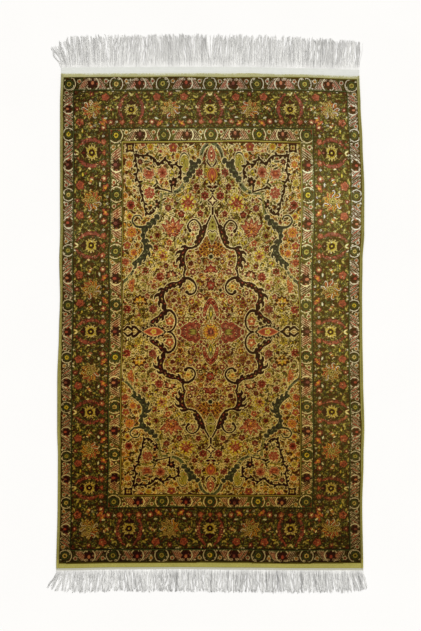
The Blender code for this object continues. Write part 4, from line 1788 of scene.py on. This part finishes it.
def build_fringe(end):
    """The loose silk warps: strands that cling in wavy twists, and the twists in locks and clumps."""
    rng = np.random.default_rng(end.seed)
    strand = np.arange(end.strands)
    share = (strand + rng.uniform(0.1, 0.9, end.strands)) / end.strands * 2 - 1
    twist = group_of(share, TWISTS)
    root_x, root_y = band_points(end.direction, share * BAND_REACH, end.band - STRAND_OVERLAP)
    lean = np.radians(eased(end.locks, share, 1))
    length = strand_lengths(end, rng, share, twist)
    drift = strand_drift(end, rng, root_x, twist, length * np.sin(lean))
    t = STRAND_RINGS
    x = root_x[:, None] + drift[:, None] * t ** rng.uniform(0.9, 1.9, TWISTS)[twist][:, None]
    x = waved(rng, x, twist, TWISTS, *TWIST_WAVES)
    x = waved(rng, x, strand, end.strands, *STRAND_WAVES)
    y = root_y[:, None] + end.direction * (length * np.cos(lean) + STRAND_OVERLAP)[:, None] * t
    # The roots lie side by side over the band's end, and twists part from there
    level = np.clip(rng.uniform(0, 1, TWISTS)[twist] + rng.normal(0, 0.12, end.strands), 0, 1)[:, None]
    rise = np.minimum(t * 5, 1)
    z = 0.0006 - 0.0002 * t + 0.0004 * np.minimum(9 * t, 1 - t) + rise * level * 0.0008 * (1 - 0.35 * t)
    radius = (STRAND_RADIUS * rng.uniform(0.8, 1.35, end.strands)[:, None] * (1 - 0.45 * t))[..., None]
    wide = (1.25 + 0.6 * (1 - rise))[..., None]
    rings_x = x[..., None] + wide * radius * np.cos(STRAND_TURNS)
    rings_z = np.maximum(z[..., None] + radius * np.sin(STRAND_TURNS), 0.00005)
    rings = np.stack((rings_x, np.repeat(y[..., None], len(STRAND_TURNS), 2), rings_z), -1)
    return ring_tubes(f"warps_{end.name}", rings, strand_shades(end, rng, x, y, twist, level))


def new_material(name):
    """An empty node material, its tree and its shader."""
    made = bpy.data.materials.new(name)
    made.use_nodes = True
    tree = made.node_tree
    return made, tree, tree.nodes["Principled BSDF"]


def node(tree, kind, values=(), **settings):
    """A node with its settings, and its inputs' values or the outputs linked to them."""
    made = tree.nodes.new(kind)
    for key, value in settings.items():
        setattr(made, key, value)
    for socket, value in dict(values).items():
        if isinstance(value, bpy.types.NodeSocket):
            tree.links.new(value, made.inputs[socket])
        else:
            made.inputs[socket].default_value = value
    return made


def math_node(tree, operation, *values):
    """The result of a sum, product or other operation on values and sockets."""
    return node(tree, "ShaderNodeMath", dict(enumerate(values)), operation=operation).outputs[0]


def waves(tree, coordinate, pitch):
    """A ripple from 0 to 1 along a coordinate, with its pitch in metres."""
    angle = math_node(tree, "MULTIPLY", coordinate, 2 * math.pi / pitch)
    return math_node(tree, "MULTIPLY_ADD", math_node(tree, "SINE", angle), 0.5, 0.5)


def noise(tree, place, scale, detail=3.0, stretch=(1, 1, 1)):
    """A soft random value from 0 to 1."""
    mapped = node(tree, "ShaderNodeMapping", {"Vector": place, "Scale": stretch}).outputs[0]
    return node(tree, "ShaderNodeTexNoise", {"Vector": mapped, "Scale": scale, "Detail": detail}).outputs[0]


def ranged(tree, share, low, high):
    """A value that goes from low to high as the share goes from 0 to 1."""
    return node(tree, "ShaderNodeMapRange", {0: share, 3: low, 4: high}).outputs[0]


def grey(tree, level):
    """A grey of a level."""
    return node(tree, "ShaderNodeCombineColor", {0: level, 1: level, 2: level}).outputs[0]


def tinted(tree, colour, share, low, high):
    """The colour made darker or lighter, from low to high as the share goes from 0 to 1."""
    values = {0: 1.0, 6: colour, 7: grey(tree, ranged(tree, share, low, high))}
    return node(tree, "ShaderNodeMix", values, data_type="RGBA", blend_type="MULTIPLY").outputs[2]


# Silk's soft gloss, the same for every piece
SHEEN_ROUGHNESS = 0.35
GLOSS = 0.05
GLOSS_TINT = (1.0, 0.72, 0.34, 1.0)


def finish_silk(tree, shader, colour, relief, depth, roughness, sheen):
    """Joins colour and relief to a silk shader with a soft sheen."""
    tree.links.new(colour, shader.inputs["Base Color"])
    bump = node(tree, "ShaderNodeBump", {"Height": relief, "Distance": depth, "Strength": 1.0}).outputs[0]
    tree.links.new(bump, shader.inputs["Normal"])
    tree.links.new(roughness, shader.inputs["Roughness"])
    shader.inputs["Sheen Weight"].default_value = sheen
    shader.inputs["Sheen Roughness"].default_value = SHEEN_ROUGHNESS
    shader.inputs["Specular IOR Level"].default_value = GLOSS
    shader.inputs["Specular Tint"].default_value = GLOSS_TINT


def surface_inputs(tree):
    """What the silk's looks are worked out from: the place on the rug, its x, its y, and the colour painted
    on the mesh, with painted shade and sheen in it where the mesh has them.
    """
    place = node(tree, "ShaderNodeTexCoord").outputs["Object"]
    parts = node(tree, "ShaderNodeSeparateXYZ", {0: place})
    dye = node(tree, "ShaderNodeAttribute", attribute_name="dye").outputs["Color"]
    return place, parts.outputs[0], parts.outputs[1], dye


def weave(tree, x, y, pitch_across, pitch_along):
    """Bumps in rows and columns, from 0 to 1, with their pitches in metres."""
    return math_node(tree, "MULTIPLY", waves(tree, x, pitch_across), waves(tree, y, pitch_along))


def pile_material():
    """Short silk pile: rows of knots and the fibres of their tufts."""
    made, tree, shader = new_material("silk_pile_look")
    place, x, y, dye = surface_inputs(tree)
    knot = weave(tree, x, y, 0.00125, 0.00125)
    fibre = noise(tree, place, 900.0, 2.0, (1.6, 0.5, 1))
    patch = noise(tree, place, 22.0, 3.0, (1, 0.5, 1))
    colour = tinted(tree, tinted(tree, dye, fibre, 0.72, 1.28), patch, 0.86, 1.14)
    tufts, threads = (math_node(tree, "MULTIPLY", part, share) for part, share in ((knot, 0.6), (fibre, 0.8)))
    relief = math_node(tree, "ADD", tufts, threads)
    finish_silk(tree, shader, colour, relief, 0.00035, ranged(tree, patch, 0.46, 0.66), 0.0)
    return made


def back_material():
    """The back of the cloth: knot loops in rows, flat and matt."""
    made, tree, shader = new_material("ground_look")
    place, x, y, dye = surface_inputs(tree)
    fibre = noise(tree, place, 700.0)
    relief = math_node(tree, "ADD", weave(tree, x, y, 0.0013, 0.0026), fibre)
    finish_silk(tree, shader, tinted(tree, dye, fibre, 0.8, 1.15), relief, 0.0003, fibre, 0.1)
    return made


def white_silk_material(name, pitch_across, pitch_out, stretch):
    """White warp silk, woven or loose."""
    made, tree, shader = new_material(name)
    place, x, y, dye = surface_inputs(tree)
    fibre = noise(tree, place, 500.0, 3.0, stretch)
    patch = noise(tree, place, 60.0, 2.0, stretch)
    colour = tinted(tree, tinted(tree, dye, fibre, 0.90, 1.06), patch, 0.93, 1.04)
    bumps = weave(tree, x, y, pitch_across, pitch_out)
    relief = math_node(tree, "ADD", bumps, math_node(tree, "MULTIPLY", fibre, 0.5))
    finish_silk(tree, shader, colour, relief, 0.0002, ranged(tree, fibre, 0.38, 0.60), 0.25)
    return made


def selvedge_material():
    """Olive silk wound round the edge."""
    made, tree, shader = new_material("overcast_look")
    place, _, _, dye = surface_inputs(tree)
    fibre = noise(tree, place, 900.0, 2.0, (0.4, 1.5, 1))
    patch = noise(tree, place, 40.0)
    colour = tinted(tree, tinted(tree, dye, fibre, 0.8, 1.2), patch, 0.85, 1.12)
    finish_silk(tree, shader, colour, fibre, 0.0002, ranged(tree, fibre, 0.40, 0.62), 0.2)
    return made


def floor_material():
    """A plain pale floor, with the faintest unevenness."""
    made, tree, shader = new_material("floor_look")
    place = node(tree, "ShaderNodeTexCoord").outputs["Object"]
    colour = grey(tree, ranged(tree, noise(tree, place, 3.0), 0.93, 0.96))
    tree.links.new(colour, shader.inputs["Base Color"])
    shader.inputs["Roughness"].default_value = 0.8
    shader.inputs["Specular IOR Level"].default_value = 0.1
    return made


def dress(piece, material):
    """Gives a piece its material and its slot, and puts it on the rug."""
    piece.data.materials.clear()
    piece.data.materials.append(material)
    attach(piece, "root")


FLOOR_SIZE = 4.0
FLOOR_DROP = 0.0002


def build_floor():
    """The floor under the rug."""
    builder = bmesh.new()
    bmesh.ops.create_grid(builder, x_segments=4, y_segments=4, size=FLOOR_SIZE)
    mesh = bpy.data.meshes.new("floor")
    builder.to_mesh(mesh)
    builder.free()
    floor = bpy.data.objects.new("floor", mesh)
    floor.location = (0, 0, -FLOOR_DROP)
    bpy.context.scene.collection.objects.link(floor)
    floor.data.materials.append(floor_material())


# Camera: nearly straight above, tipped a little towards the near end
CAMERA_DISTANCE = 3.2
CAMERA_TILT_DEGREES = 2.75
CAMERA_AIM = (-0.0009, 0.0075, 0.0)
PIXEL = 0.003135
FRAME_HEIGHT = 631 * PIXEL
SENSOR_HEIGHT = 36.0


def build_camera():
    """The camera at the photo's viewing angle."""
    tilt = math.radians(CAMERA_TILT_DEGREES)
    aim = Vector(CAMERA_AIM)
    data = bpy.data.cameras.new("camera")
    data.sensor_fit = "VERTICAL"
    data.sensor_height = SENSOR_HEIGHT
    data.lens = SENSOR_HEIGHT * CAMERA_DISTANCE / FRAME_HEIGHT
    data.clip_end = 50
    camera = bpy.data.objects.new("camera", data)
    camera.location = aim + CAMERA_DISTANCE * Vector((0, -math.sin(tilt), math.cos(tilt)))
    camera.rotation_euler = (tilt, 0, 0)
    bpy.context.scene.collection.objects.link(camera)
    bpy.context.scene.camera = camera


# Light: the room's strength, and the window's strength, breadth in degrees, and turns
ROOM_STRENGTH = 0.55
WINDOW_STRENGTH = 2.05
WINDOW_BREADTH_DEGREES = 35
WINDOW_TURN_DEGREES = (-28, 30, 0)


def build_lights():
    """A bright even room, and one broad soft light from the upper right."""
    world = bpy.data.worlds.new("studio")
    world.use_nodes = True
    background = world.node_tree.nodes["Background"]
    background.inputs["Color"].default_value = (1.0, 0.99, 0.97, 1.0)
    background.inputs["Strength"].default_value = ROOM_STRENGTH
    bpy.context.scene.world = world
    sun = bpy.data.lights.new("window", "SUN")
    sun.energy = WINDOW_STRENGTH
    sun.angle = math.radians(WINDOW_BREADTH_DEGREES)
    sun.color = (1.0, 0.985, 0.96)
    lamp = bpy.data.objects.new("window", sun)
    lamp.rotation_euler = tuple(math.radians(turn) for turn in WINDOW_TURN_DEGREES)
    bpy.context.scene.collection.objects.link(lamp)


def build_scene():
    """Every visible piece, the floor, the lights and the camera."""
    knots = knot_colours()
    pile_look = pile_material()
    strips = build_pile(knots)
    for strip in strips:
        dress(strip, pile_look)
    ground = build_ground(knots)
    dress(ground, back_material())
    overcast = selvedge_material()
    selvedges = [build_selvedge("overcast_left", -1), build_selvedge("overcast_right", 1)]
    for selvedge in selvedges:
        dress(selvedge, overcast)
    woven = white_silk_material("woven_band_look", 0.0022, 0.0012, (1, 1, 1))
    loose = white_silk_material("loose_warp_look", 0.0031, 0.0083, (3.0, 0.25, 1))
    bands, fringes = [], []
    for end in ENDS:
        bands.append(build_band(end))
        dress(bands[-1], woven)
        fringes.append(build_fringe(end))
        dress(fringes[-1], loose)
    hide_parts("knotted_body")
    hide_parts("selvedge_left")
    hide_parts("selvedge_right")
    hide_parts("fringe_far")
    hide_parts("fringe_near")
    build_floor()
    build_lights()
    build_camera()
    bpy.context.scene.view_settings.view_transform = "Standard"


build_scene()
